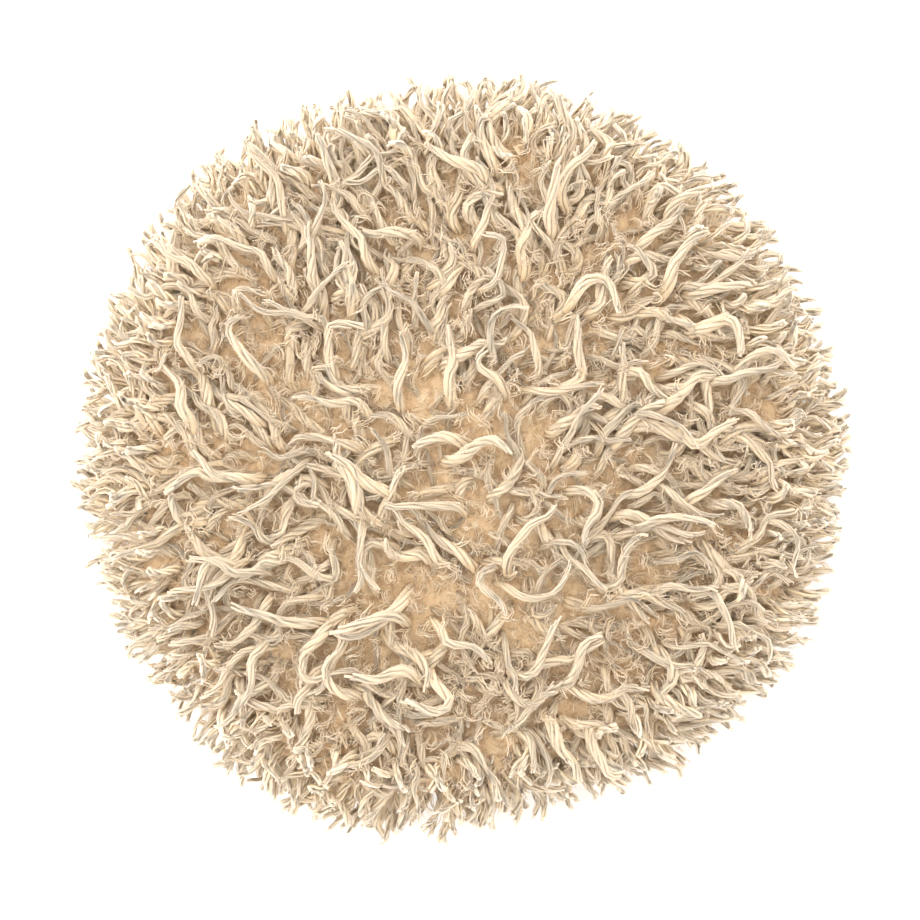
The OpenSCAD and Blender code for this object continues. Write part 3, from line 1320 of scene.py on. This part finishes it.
class Finishes:
    """Every material of the wheel, made once."""

    def __init__(self) -> None:
        """Builds the shared groups and then the materials."""
        groups = Groups()
        self.yarn = WoolFinish(
            "cream_yarn", (0.76, 0.56, 0.345), (0.70, 0.58, 0.42), (0.69, 0.59, 0.45)
        ).make(groups)
        self.undercoat = WoolFinish(
            "tan_undercoat", (0.90, 0.66, 0.38), (0.95, 0.76, 0.49), (0.96, 0.80, 0.56),
            fineness=40.0, streak=0.14, soft=0.7, soft_depth=2.0 * MM,
        ).make(groups)
        # paler than the yarn: partly cleaner wool, partly painted light that stands in for light passing
        # through the thin rim
        self.fringe = WoolFinish(
            "combed_fringe", (0.93, 0.70, 0.43), (0.93, 0.745, 0.50), (0.92, 0.765, 0.55),
            fineness=55.0, soft=0.8, soft_depth=2.6 * MM,
        ).make(groups)
        # its last colour is painted shade for the pits
        self.fleece = FleeceFinish(
            "felted_fleece", (0.88, 0.70, 0.46), (0.80, 0.60, 0.37), (0.60, 0.42, 0.24)
        ).make(groups)
        self.hub = MetalFinish("plated_hub", (0.62, 0.63, 0.64), (0.44, 0.45, 0.46)).make(groups)
        self.rivet = MetalFinish(
            "rivet_zinc", (0.68, 0.68, 0.68), (0.5, 0.5, 0.51), smooth=0.3, worn=0.5
        ).make(groups)
        self.clamp = MetalFinish(
            "pressed_ring", (0.6, 0.6, 0.61), (0.4, 0.41, 0.42), smooth=0.3, worn=0.55
        ).make(groups)
        self.disc = PlasticFinish(
            "glass_nylon", (0.018, 0.019, 0.021), (0.12, 0.12, 0.125)
        ).make(groups)
        # its second colour is painted shade inside the open cells
        self.foam = FoamFinish(
            "moulded_foam", (0.055, 0.058, 0.062), (0.012, 0.012, 0.013)
        ).make(groups)
        # each cloth's second colour is painted shade between its threads
        self.hook_base = ClothFinish(
            "hook_tape", (0.03, 0.03, 0.032), (0.012, 0.012, 0.013), 0.6 * MM
        ).make(groups)
        self.hooks = WoolFinish(
            "hook_nylon", (0.022, 0.022, 0.024), (0.04, 0.04, 0.043), (0.065, 0.065, 0.07),
            sheen=0.0, soft=0.0,
        ).make(groups)
        self.loops = ClothFinish(
            "brushed_loops", (0.74, 0.71, 0.65), (0.52, 0.49, 0.43), 0.9 * MM
        ).make(groups)
        self.nap = WoolFinish(
            "loop_filaments", (0.66, 0.63, 0.57), (0.76, 0.73, 0.67), (0.8, 0.78, 0.73), soft=0.2
        ).make(groups)
        self.latex = RubberFinish(
            "brushed_latex", (0.66, 0.55, 0.33), (0.74, 0.65, 0.45)
        ).make(groups)
        self.primary = ClothFinish(
            "primary_weave", (0.62, 0.50, 0.33), (0.36, 0.27, 0.16), 1.1 * MM, depth=0.3 * MM
        ).make(groups)
        self.tape = ClothFinish(
            "binding_twill", (0.70, 0.60, 0.44), (0.48, 0.39, 0.26), 0.7 * MM, depth=0.15 * MM
        ).make(groups)
        self.thread = ClothFinish(
            "overlock_thread", (0.84, 0.78, 0.66), (0.6, 0.53, 0.41), 0.3 * MM, depth=0.05 * MM
        ).make(groups)


# ---- Trees for what repeats on the plate and round the pad's edge -------------------------


class CoilTree:
    """The Geometry Nodes tree for the overlock thread: one long coil round the bound edge."""

    SQUARENESS = 0.55  # below 1 the coil's loops are squarer than an ellipse
    SIDES = 6  # of the thread

    def __init__(self) -> None:
        """Builds the tree."""
        self.tree = geometry_tree("overlock_coil")
        t = self.tree
        t.input("Start", "Geometry")
        turns, steps = t.input("Turns", "Int"), t.input("Steps per Turn", "Int")
        ring, centre = t.input("Ring Radius", "Float"), t.input("Centre Height", "Float")
        wide, high = t.input("Half Width", "Float"), t.input("Half Height", "Float")
        thread = t.input("Thread Radius", "Float")
        material = t.input("Material", "Material")
        count = turns * steps
        order = t.add("GeometryNodeInputIndex")["Index"]
        around, phase = order * TURN / count, order * TURN / steps
        across = self.squared(t.cos(phase)) * wide + ring
        up = self.squared(t.sin(phase)) * high + centre
        place = t.vector(across * t.cos(around), across * t.sin(around), up)
        points = t.add("GeometryNodePoints", {}, {"Count": count, "Position": place})
        curve = t.add("GeometryNodePointsToCurves", {}, {"Points": points["Points"], "Weight": order})
        closed = t.add("GeometryNodeSetSplineCyclic", {}, {"Geometry": curve["Curves"], "Cyclic": True})
        profile = t.circle(self.SIDES, thread)
        mesh = t.add(
            "GeometryNodeCurveToMesh", {}, {"Curve": closed["Geometry"], "Profile Curve": profile}
        )
        t.finish([mesh["Mesh"]], material)

    def squared(self, wave: Wire) -> Wire:
        """A sine wave with flatter tops."""
        t = self.tree
        return t.calc("SIGN", wave) * t.calc("POWER", t.calc("ABSOLUTE", wave), self.SQUARENESS)


class RingTree:
    """The Geometry Nodes tree that sets copies of a shape in a ring round the spindle axis."""

    def __init__(self) -> None:
        """Builds the tree."""
        self.tree = geometry_tree("ring_of_copies")
        t = self.tree
        shape = t.input("Shape", "Geometry")
        count, radius = t.input("Count", "Int"), t.input("Ring Radius", "Float")
        first = t.input("First Angle", "Float")
        material = t.input("Material", "Material")
        angle = t.add("GeometryNodeInputIndex")["Index"] * TURN / count + first
        place = t.vector(t.cos(angle) * radius, t.sin(angle) * radius, 0.0)
        points = t.add("GeometryNodePoints", {}, {"Count": count, "Position": place})
        copies = t.add("GeometryNodeInstanceOnPoints", {}, {"Points": points["Points"], "Instance": shape})
        t.finish([copies["Instances"]], material)


# ---- The backing plate ---------------------------------------------------------------------


@dataclass
class Hub:
    """The threaded steel hub: a boss with two spanner flats, a flange and a spigot."""

    finishes: Finishes
    boss: float = 15 * MM
    flats: float = 12 * MM
    flats_top: float = 8 * MM
    flange_from: float = 12 * MM
    flange_to: float = 15 * MM
    flange: float = 32 * MM
    spigot: float = 11.9 * MM
    bore: float = 6 * MM
    mouth: float = 1 * MM
    pitch: float = 2 * MM
    groove: float = 1 * MM
    crest: float = 0.15  # share of half a pitch that is left flat
    flank: float = 0.6  # share of half a pitch over which the groove deepens
    edge: float = 0.4 * MM
    rows: int = 88
    steps: int = 120
    sharp: float = 32  # degrees

    def thread(self, angle: float, height: float) -> float:
        """How deep the right-handed groove is at a place in the bore.

        Args:
            angle: round the axis, in radians.
            height: above the hub's rear face.

        Returns:
            The depth, which fades out at both ends of the bore.
        """
        turn = (height / self.pitch - angle / TURN) % 1.0
        flank = min(1.0, max(0.0, (1 - abs(2 * turn - 1) - self.crest) / self.flank))
        top = box("threaded_hub")[1].z
        fade = min(1.0, (height - self.mouth) / (0.5 * self.pitch), (top - height) / self.pitch)
        return self.groove * flank * max(0.0, fade)

    def point(self, angle: float, radius: float, height: float) -> Point:
        """A point on the hub, with its flats and its thread."""
        if radius < self.bore + HAIR:
            radius += self.thread(angle, height)
        x, y, z = round_point(angle, radius, height)
        if height < self.flats_top:
            y = max(-self.flats, min(self.flats, y))
        return x, y, z

    def build(self) -> None:
        """Builds the hub and hands it over."""
        top = box("threaded_hub")[1].z
        outside = [
            (self.bore + self.mouth, 0.0), (self.boss - self.mouth, 0.0), (self.boss, self.mouth),
            (self.boss, self.flats_top - HAIR), (self.boss, self.flats_top + HAIR),
            (self.boss, self.flange_from - self.edge), (self.boss + self.edge, self.flange_from),
            (self.flange - self.edge, self.flange_from), (self.flange, self.flange_from + self.edge),
            (self.flange, self.flange_to), (self.spigot, self.flange_to),
            (self.spigot, top - self.edge), (self.spigot - self.edge, top), (self.bore + self.edge, top),
        ]
        tall = top - self.edge - self.mouth
        bore = [(self.bore, top - self.edge - tall * k / self.rows) for k in range(self.rows + 1)]
        mesh = turned("turned_hub", outside + bore, self.steps, True, self.point)
        keep(dressed(mesh, self.finishes.hub, self.sharp), Body.PLATE, "hub_steel", "threaded_hub")


@dataclass
class FoamCushion:
    """The moulded foam, with its pocket, its parting ridge and its pegs in the disc's holes."""

    finishes: Finishes
    seat: float = 67.5 * MM
    pocket: float = 31 * MM
    pocket_top: float = 23.2 * MM
    nose: float = 12 * MM
    nose_top: float = 28 * MM
    bevel: float = 1.5 * MM
    disc_top: float = 19 * MM
    wall: float = 3 * MM
    ridge_height: float = 23.5 * MM
    ridge: float = 0.3 * MM
    peg: float = 4.4 * MM
    peg_edge: float = 0.35 * MM
    peg_head: float = 0.5 * MM
    peg_ring: float = 49.7 * MM
    pegs: int = 6
    first_peg: float = 15  # degrees from +X
    peg_steps: int = 40
    stretch: float = 1.6 * MM
    steps: int = 220
    sharp: float = 50  # degrees
    unevenness: float = 0.22 * MM
    dents: float = 130  # per metre
    sunk: float = 0.6  # keeps the dents inside the CAD shape

    def section(self) -> list[tuple[float, float]]:
        """The foam's section, (radius, height) of each corner."""
        low, high = box("cushion_foam")
        back, face = self.seat + self.wall, high.x

        def wall_at(height: float) -> float:
            """The outer wall's radius at a height."""
            share = (height - low.z - self.bevel) / (high.z - low.z - 2 * self.bevel)
            return back + (face - back) * share

        ridge = self.ridge_height
        return [
            (self.seat, low.z), (back - self.bevel, low.z),
            (back - 0.4 * self.bevel, low.z + 0.3 * self.bevel), (back, low.z + self.bevel),
            (wall_at(ridge - self.ridge), ridge - self.ridge), (wall_at(ridge) + self.ridge, ridge),
            (wall_at(ridge + self.ridge), ridge + self.ridge),
            (face, high.z - self.bevel), (face - 0.15 * self.bevel, high.z - 0.3 * self.bevel),
            (face - 0.5 * self.bevel, high.z), (0.0, high.z),
            (0.0, self.nose_top), (self.nose, self.nose_top), (self.nose, self.pocket_top),
            (self.pocket, self.pocket_top), (self.pocket, self.disc_top), (self.seat, self.disc_top),
        ]

    def point(self, angle: float, radius: float, height: float) -> Point:
        """A point on the foam, whose outer wall is a little uneven."""
        x, y, z = round_point(angle, radius, height)
        if radius > self.seat + 0.5 * self.wall:
            dent = self.unevenness * (noise.noise(Vector((x, y, z)) * self.dents) - self.sunk)
            x, y, z = round_point(angle, radius + dent, height)
        return x, y, z

    def build(self) -> None:
        """Builds the cushion and its pegs and hands them over."""
        mesh = turned("foam_cushion", filled(self.section(), self.stretch), self.steps, True, self.point)
        piece = dressed(mesh, self.finishes.foam, self.sharp)
        keep(piece, Body.PLATE, "plate_foam", "cushion_foam")
        low, end = box("cushion_foam")[0].z, self.disc_top + self.peg_head
        section = [
            (0.0, low), (self.peg - self.peg_edge, low), (self.peg, low + self.peg_edge),
            (self.peg, end), (0.0, end),
        ]
        ring = {
            "Count": self.pegs, "Ring Radius": self.peg_ring, "First Angle": math.radians(self.first_peg),
            "Material": self.finishes.foam,
        }
        pegs = grown("foam_pegs", RingTree().tree, ring, turned("peg", section, self.peg_steps))
        keep(pegs, Body.PLATE, "plate_foam", "cushion_foam")


@dataclass
class Disc:
    """A round flat sheet of the wheel, which may have a nap of hooks or loops.

    Attributes:
        name: the piece's name.
        node: the CAD node that it stands for.
        slot: the record's material slot.
        body: the CAD body that it rides on.
        material: its finish.
        under: height of its underside, or None for the CAD node's own.
        over: height of its upper side, or None for the CAD node's own.
        ripple: how far its edge is off a true circle.
        ripples: how many of those there are in a metre.
        inset: keeps the ripples inside the CAD shape.
        even: share of the radius inside which nothing ripples.
        round_edge: how much of each edge is rounded off.
        stretch: longest stretch of its section.
        steps: stretches round it.
        sharp: angle of a sharp edge, in degrees.
    """

    name: str
    node: str
    slot: str
    body: Body
    material: bpy.types.Material
    under: Union[float, None] = None
    over: Union[float, None] = None
    ripple: float = 0.08 * MM
    ripples: float = 160
    inset: float = 0.7
    even: float = 0.9
    round_edge: float = 0.15 * MM
    stretch: float = 4 * MM
    steps: int = 160
    sharp: float = 60

    @property
    def radius(self) -> float:
        """The CAD node's radius."""
        return box(self.node)[1].x

    @property
    def heights(self) -> tuple[float, float]:
        """Heights of the two sides."""
        low, high = box(self.node)
        return (low.z if self.under is None else self.under), (high.z if self.over is None else self.over)

    def point(self, angle: float, radius: float, height: float) -> Point:
        """A point on the sheet, whose edge isn't cut quite true."""
        x, y, _ = round_point(angle, radius, height)
        near = max(0.0, radius / self.radius - self.even) * 10
        uneven = self.ripple * (noise.noise(Vector((x, y, 0.0)) * self.ripples) - self.inset) * near
        return round_point(angle, radius + uneven, height)

    def build(self) -> bpy.types.Object:
        """Builds the sheet and hands it over.

        Returns:
            The sheet.
        """
        under, over = self.heights
        edge = self.round_edge
        section = [
            (0.0, under), (self.radius - edge, under), (self.radius, under + edge),
            (self.radius, over - edge), (self.radius - edge, over), (0.0, over),
        ]
        mesh = turned(self.name, filled(section, self.stretch), self.steps, True, self.point)
        return keep(dressed(mesh, self.material, self.sharp), self.body, self.slot, self.node)

    def declare(self, sheet: bpy.types.Object, rests_on: str, *with_pieces: bpy.types.Object) -> None:
        across = 2 * self.radius
        math.pi * self.radius**2


@dataclass
class Nap:
    """Fine hooks or loops that stand on one side of a disc."""

    name: str
    radius: float
    height: float
    faces_up: bool
    material: bpy.types.Material
    lock: Lock
    steps: int = 120

    def grow(self, pile: PileTree) -> bpy.types.Object:
        """Grows the nap.

        Args:
            pile: the tree that it grows from.

        Returns:
            The nap's piece, not yet handed over.
        """
        side = [(self.radius, self.height), (0.0, self.height)]
        face = turned("face", side if self.faces_up else side[::-1], self.steps, False)
        return grown(self.name, pile.tree, self.lock.settings(self.material), face)


def nap_lock(seed: int, steps: int, spacing: float, length: float, lay: float, ply: float) -> Lock:
    """A single stiff filament that curls over, as a hook or a loop does."""
    return Lock(
        seed=seed, steps=steps, plies=1, spacing=spacing, length=length, length_spread=0.12, rise=0.0,
        lay=lay, bend_over=0.75, yaw_spread=3.1, curl=0.2, curl_turns=0.5, ply=ply, tip=0.8,
    )


@dataclass
class BackingPlate:
    """Everything that turns with the spindle."""

    finishes: Finishes
    pile: PileTree
    hook_base: float = 0.7 * MM
    bare_edge: float = 1 * MM
    hook: Lock = nap_lock(seed=500, steps=5, spacing=2.0 * MM, length=1.55 * MM, lay=4.2, ply=0.12 * MM)

    def build(self) -> None:
        """Builds the plate from the hub to the hooks."""
        Hub(self.finishes).build()
        for node, finish in (
            ("support_disc", self.finishes.disc),
            ("rivets", self.finishes.rivet),
            ("clamp_ring", self.finishes.clamp),
        ):
            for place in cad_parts[node].material_slots:
                place.material = finish
            LOG.info("%s: CAD node with its own finish", node)
        FoamCushion(self.finishes).build()
        top = box("hook_disc")[0].z + self.hook_base
        tape = Disc("hook_tape", "hook_disc", "hook_nylon", Body.PLATE, self.finishes.hook_base, over=top)
        sheet = tape.build()
        across = tape.radius - self.bare_edge
        hooks = Nap("tape_hooks", across, top, True, self.finishes.hooks, self.hook).grow(self.pile)
        keep(hooks, Body.PLATE, "hook_nylon", "hook_disc")
        tape.declare(sheet, "foam_cushion", hooks)


# ---- The wool pad --------------------------------------------------------------------------


@dataclass
class PadBacking:
    """The pad's three cloths and its bound and overlocked edge."""

    finishes: Finishes
    pile: PileTree
    nap_deep: float = 0.6 * MM
    bare_edge: float = 3.5 * MM
    loop: Lock = nap_lock(seed=600, steps=7, spacing=2.3 * MM, length=1.7 * MM, lay=5.6, ply=0.09 * MM)
    tape: float = 0.6 * MM
    tape_reach: float = 3.6 * MM
    tape_stretch: float = 1.2 * MM
    tape_sharp: float = 60  # degrees
    fold: float = 0.4  # where the tape's mean length is, as a share of its reach from the edge
    corner: float = 0.5 * MM
    pucker: float = 0.14 * MM
    stitches: int = 72
    steps_per_stitch: int = 4
    thread: float = 0.3 * MM
    thread_reach: float = 4 * MM
    thread_steps: int = 12

    def build(self) -> None:
        """Builds the cloths from the back and then the edge."""
        looms = self.finishes
        under = box("loop_cloth")[0].z + self.nap_deep
        backing = Disc("loop_backing", "loop_cloth", "loop_nylon", Body.PAD, looms.loops, under=under)
        sheet = backing.build()
        across = backing.radius - self.bare_edge
        loops = Nap("backing_loops", across, under, False, looms.nap, self.loop).grow(self.pile)
        keep(loops, Body.PAD, "loop_nylon", "loop_cloth")
        backing.declare(sheet, "tape_hooks", loops)
        Disc("latex_film", "latex_coat", "pad_latex", Body.PAD, looms.latex).build()
        cloth = Disc("primary_fabric", "primary_cloth", "primary_weave", Body.PAD, looms.primary)
        cloth.declare(cloth.build(), "latex_film")
        self.build_binding()
        self.build_thread()

    def binding_point(self, angle: float, radius: float, height: float) -> Point:
        """A point on the tape, which each stitch pulls in a little."""
        middle = box("edge_binding")[1].x - 0.5 * self.tape
        pull = self.pucker * (0.5 + 0.5 * math.cos(angle * self.stitches))
        outside = max(0.0, min(1.0, (radius - middle) / self.tape + 0.5))
        return round_point(angle, radius - pull * outside, height)

    def build_binding(self) -> None:
        """Folds the tape over the cloths' edge."""
        low, high = box("edge_binding")
        under, over, outer = low.z, high.z, high.x
        start, cut, bend, thick = outer - self.tape_reach, self.corner, 0.3 * self.corner, self.tape
        section = [
            (start, under), (outer - cut, under), (outer - bend, under + bend), (outer, under + cut),
            (outer, over - cut), (outer - bend, over - bend), (outer - cut, over), (start, over),
            (start, over - thick), (outer - thick, over - thick), (outer - thick, under + thick),
            (start, under + thick),
        ]
        steps = self.stitches * self.steps_per_stitch
        mesh = turned("binding_tape", filled(section, self.tape_stretch), steps, True, self.binding_point)
        piece = dressed(mesh, self.finishes.tape, self.tape_sharp)
        keep(piece, Body.PAD, "binding_tape", "edge_binding")
        wide = 2 * self.tape_reach + high.z - low.z - self.tape

    def build_thread(self) -> None:
        """Winds the overlock thread round the bound edge."""
        low, high = box("edge_stitches")
        inside = box("edge_binding")[1].x - self.thread_reach
        outside = high.x - self.thread
        settings = {
            "Turns": self.stitches, "Steps per Turn": self.thread_steps,
            "Ring Radius": (inside + outside) / 2, "Centre Height": (low.z + high.z) / 2,
            "Half Width": (outside - inside) / 2, "Half Height": (high.z - low.z) / 2 - self.thread,
            "Thread Radius": self.thread, "Material": self.finishes.thread,
        }
        piece = grown("overlock_thread", CoilTree().tree, settings)
        keep(piece, Body.PAD, "edge_thread", "edge_stitches")


@dataclass
class Undercoat:
    """The short dense wool: a lumpy felted base and the curly locks on it."""

    finishes: Finishes
    pile: PileTree
    roots: Outline
    lump: float = 1.1 * MM
    coarse: float = 210  # lumps per metre
    fine: float = 480
    fine_share: float = 0.6
    raised: float = 2.7  # height of the base above the roots, in lumps
    clear: float = 0.1 * MM  # room between the base and the cloth
    stitch_clear: float = 1.5 * MM  # the same over the stitches
    stitched: float = 5 * MM  # how far in from the base's inner edge that goes
    edge_room: float = 0.3 * MM  # between the stitches and the base's inner edge
    base_rows: int = 72
    base_steps: int = 300
    pieces: int = 4
    band_rows: int = 26
    band_steps: int = 120
    lock: Lock = Lock(
        seed=40, steps=7, plies=4, spacing=2.15 * MM, length=11 * MM, length_spread=0.35,
        rise=0.2, lay=1.15, bend_over=1.0, yaw_spread=3.2, swirl=1.5, tangle=1.0,
        curl=2.0, curl_turns=1.0, kink=0.6, bundle=0.7 * MM, ply=0.17 * MM, tip=0.5,
        twist=0.5, splay=1.5 * MM, wobble=0.7 * MM,
    )

    def base_point(self, angle: float, radius: float, height: float) -> Point:
        """A point on the base, which is lumpy and stands a little above the roots."""
        place = Vector(uneven_point(angle, radius, height))
        centre = Vector((0, 0, self.roots.top - self.roots.outside))
        out = (place - centre).normalized()
        rough = noise.noise(place * self.coarse) + self.fine_share * noise.noise(place * self.fine)
        return tuple(place + out * self.lump * (rough + self.raised))

    def build_base(self) -> bpy.types.Object:
        """Builds the lumpy base, closed underneath by the CAD shape's own underside.

        Returns:
            The base piece.
        """
        outline = [self.roots.at(k / self.base_rows) for k in range(self.base_rows + 1)]
        inner, cloth = self.inner_edge(), box("primary_cloth")[1].z
        over, under = cloth + self.stitch_clear, cloth + self.clear
        step = inner - self.stitched
        section = outline + [
            (inner, outline[-1][1]), (inner, over), (step, over), (step, under), (0.0, under)
        ]
        lumpy = set(outline)

        def shape(angle: float, radius: float, height: float) -> Point:
            """Lumpy on the outline, and plain underneath."""
            point = self.base_point if (radius, height) in lumpy else round_point
            return point(angle, radius, height)

        mesh = turned("fleece_base", section, self.base_steps, True, shape)
        mesh.materials.append(self.finishes.fleece)
        return placed("fleece_base", mesh)

    def inner_edge(self) -> float:
        """Radius of the undercoat's inner edge, just outside the overlock stitches."""
        return box("edge_stitches")[1].x + self.edge_room

    def build(self) -> None:
        """Builds the base and the locks and hands them over."""
        keep(self.build_base(), Body.PAD, "short_wool", "undercoat")
        for part in range(self.pieces):
            band = root_band(self.roots, *self.shares(part), self.band_rows, self.band_steps)
            settings = replace(self.lock, seed=self.lock.seed + part).settings(self.finishes.undercoat)
            piece = grown(f"undercoat_locks_{part + 1}", self.pile.tree, settings, band)
            keep(piece, Body.PAD, "short_wool", "undercoat")

    def shares(self, part: int) -> tuple[float, float]:
        """Start and end of a part's band, so that each part has about the same area."""
        return math.sqrt(part / self.pieces), math.sqrt((part + 1) / self.pieces)


@dataclass
class Courses:
    """The sixteen courses of long yarn, and the short, close yarn ends round the rim."""

    finishes: Finishes
    pile: PileTree
    roots: Outline
    count: int = 16
    band_rows: int = 4
    band_steps: int = 160
    rim_from: float = 0.72  # share of the courses where the rim starts
    rim_spacing: float = 6.0 * MM
    rim_length: float = 16 * MM
    rim_steadier: float = 0.6  # how much less the yarn turns aside at the rim
    rim_calmer: float = 0.9  # how much less it tangles there
    yarn: Lock = Lock(
        seed=100, steps=14, plies=6, sides=4, spacing=4.05 * MM, thinning=0.55,
        length=25.5 * MM, length_spread=0.28, rise=0.3, lay=1.62, bend_over=0.42, yaw_spread=1.15,
        swirl=1.2, tangle=2.8, curl=0.9, curl_turns=0.75, kink=0.3, elbow=1.2, sink=0.6 * MM,
        bundle=0.7 * MM, ply=0.62 * MM, tip=0.5, twist=1.1, splay=0.5 * MM, wobble=0.36 * MM,
        fibres=5, fibre=0.07 * MM, fibre_spread=2.0 * MM,
    )
    fringe_from: int = 14
    fringe_growth: float = 1.9 * MM  # how much longer each course of the fringe is
    fringe: Lock = Lock(
        seed=300, steps=9, plies=5, spacing=2.45 * MM, length=14.2 * MM, length_spread=0.12,
        rise=0.25, lay=1.2, bend_over=0.7, yaw_spread=0.9, swirl=0.6, tangle=0.9,
        curl=0.9, curl_turns=0.7, kink=0.2, elbow=0.7, bundle=0.62 * MM, ply=0.52 * MM, tip=0.9,
        twist=1.0, splay=0.3 * MM, wobble=0.8 * MM,
    )

    def build(self) -> None:
        """Grows every course and hands it over."""
        for course in range(1, self.count + 1):
            self.grow("yarn", course, self.yarn_at(course), self.finishes.yarn)
        for course in range(self.fringe_from, self.count + 1):
            length = self.fringe.length + self.fringe_growth * (course - self.fringe_from)
            self.grow("fringe", course, replace(self.fringe, length=length), self.finishes.fringe)

    def yarn_at(self, course: int) -> Lock:
        """The yarn of a course, which is shorter and calmer towards the rim."""
        yarn = self.yarn
        share = (course - 0.5) / self.count
        rim = max(0.0, (share - self.rim_from) / (1 - self.rim_from))
        return replace(
            yarn,
            spacing=yarn.spacing + (self.rim_spacing - yarn.spacing) * rim,
            length=yarn.length + (self.rim_length - yarn.length) * rim,
            yaw_spread=yarn.yaw_spread - self.rim_steadier * share,
            tangle=yarn.tangle - self.rim_calmer * share,
        )

    def grow(self, kind: str, course: int, lock: Lock, material: bpy.types.Material) -> None:
        """Grows one course and hands it over.

        Args:
            kind: the start of the piece's name.
            course: the course's number, from the axis outwards.
            lock: how its strands grow.
            material: their finish.
        """
        band = root_band(
            self.roots, (course - 1) / self.count, course / self.count, self.band_rows, self.band_steps
        )
        settings = replace(lock, seed=lock.seed + course).settings(material)
        piece = grown(f"{kind}_course_{course:02d}", self.pile.tree, settings, band)
        keep(piece, Body.PAD, "wool_yarn", f"pile_course_{course:02d}")


# ---- Scene ---------------------------------------------------------------------------------


class Studio:
    """Floor, soft lights and the camera straight above."""

    VIEW_WIDTH = 241.0 * MM  # what the frame takes in at the pile's widest height
    VIEW_HEIGHT = 1.2
    VIEW_CENTRE = (0.1 * MM, -0.9 * MM)
    RIM_HEIGHT = 38 * MM
    SENSOR = 36.0
    KEY_PLACE = (-0.5, 0.56, 0.42)
    KEY_SIZE = 1.0
    KEY_POWER = 1.1
    SKY_COLOUR = (1.0, 0.935, 0.885)
    SKY_STRENGTH = 2.08
    SKY_LEAN = (-0.55, 0.75, 0.0)  # how much more light comes from the upper left
    FLOOR_REACH = 3.0
    FLOOR_COLOUR = (0.97, 0.97, 0.97)

    def build(self) -> None:
        """Builds everything that isn't part of the wheel."""
        bpy.context.scene.view_settings.view_transform = "Standard"
        self.floor()
        self.world()
        self.light()
        self.camera()

    def floor(self) -> None:
        """A wide pale floor under the wheel."""
        form = bmesh.new()
        bmesh.ops.create_grid(form, x_segments=1, y_segments=1, size=self.FLOOR_REACH)
        mesh = bpy.data.meshes.new("floor")
        form.to_mesh(mesh)
        form.free()
        d = Dressing("pale_floor", Base_Color=self.FLOOR_COLOUR, Roughness=0.9, Specular_IOR_Level=0.1)
        mesh.materials.append(d.material)
        placed("floor", mesh)

    def world(self) -> None:
        """Warm light from all round, stronger from the upper left."""
        world = bpy.data.worlds.new("studio")
        world.use_nodes = True
        t = Tree(world.node_tree)
        sky = world.node_tree.nodes["Background"]
        t.feed(sky.inputs["Color"], self.SKY_COLOUR)
        towards = t.add("ShaderNodeTexCoord")["Generated"]
        strength = t.calc("DOT_PRODUCT", towards, self.SKY_LEAN) + self.SKY_STRENGTH
        t.feed(sky.inputs["Strength"], strength)
        bpy.context.scene.world = world

    def light(self) -> None:
        """A square soft light that faces the wheel from the upper left."""
        lamp = bpy.data.lights.new("key", "AREA")
        lamp.shape, lamp.size, lamp.energy = "SQUARE", self.KEY_SIZE, self.KEY_POWER
        lit = bpy.data.objects.new("key", lamp)
        lit.location = self.KEY_PLACE
        towards = Vector((0, 0, self.RIM_HEIGHT)) - Vector(self.KEY_PLACE)
        lit.rotation_euler = towards.to_track_quat("-Z", "Y").to_euler()
        bpy.context.scene.collection.objects.link(lit)

    def camera(self) -> None:
        """A long lens straight above, with +Y up the frame."""
        lens = bpy.data.cameras.new("camera")
        lens.sensor_width = self.SENSOR
        lens.lens = self.SENSOR * (self.VIEW_HEIGHT - self.RIM_HEIGHT) / self.VIEW_WIDTH
        eye = bpy.data.objects.new("camera", lens)
        eye.location = (*self.VIEW_CENTRE, self.VIEW_HEIGHT)
        bpy.context.scene.collection.objects.link(eye)
        bpy.context.scene.camera = eye


def main() -> None:
    """Builds the wheel's looks in order."""
    Studio().build()
    finishes = Finishes()
    pile = PileTree()
    BackingPlate(finishes, pile).build()
    PadBacking(finishes, pile).build()
    high = box("undercoat")[1]
    roots = Outline(outside=high.x, top=high.z, dome=0.7, rim=8 * MM, end=120)
    Undercoat(finishes, pile, roots).build()
    Courses(finishes, pile, roots).build()


if __name__ == "__main__":
    main()
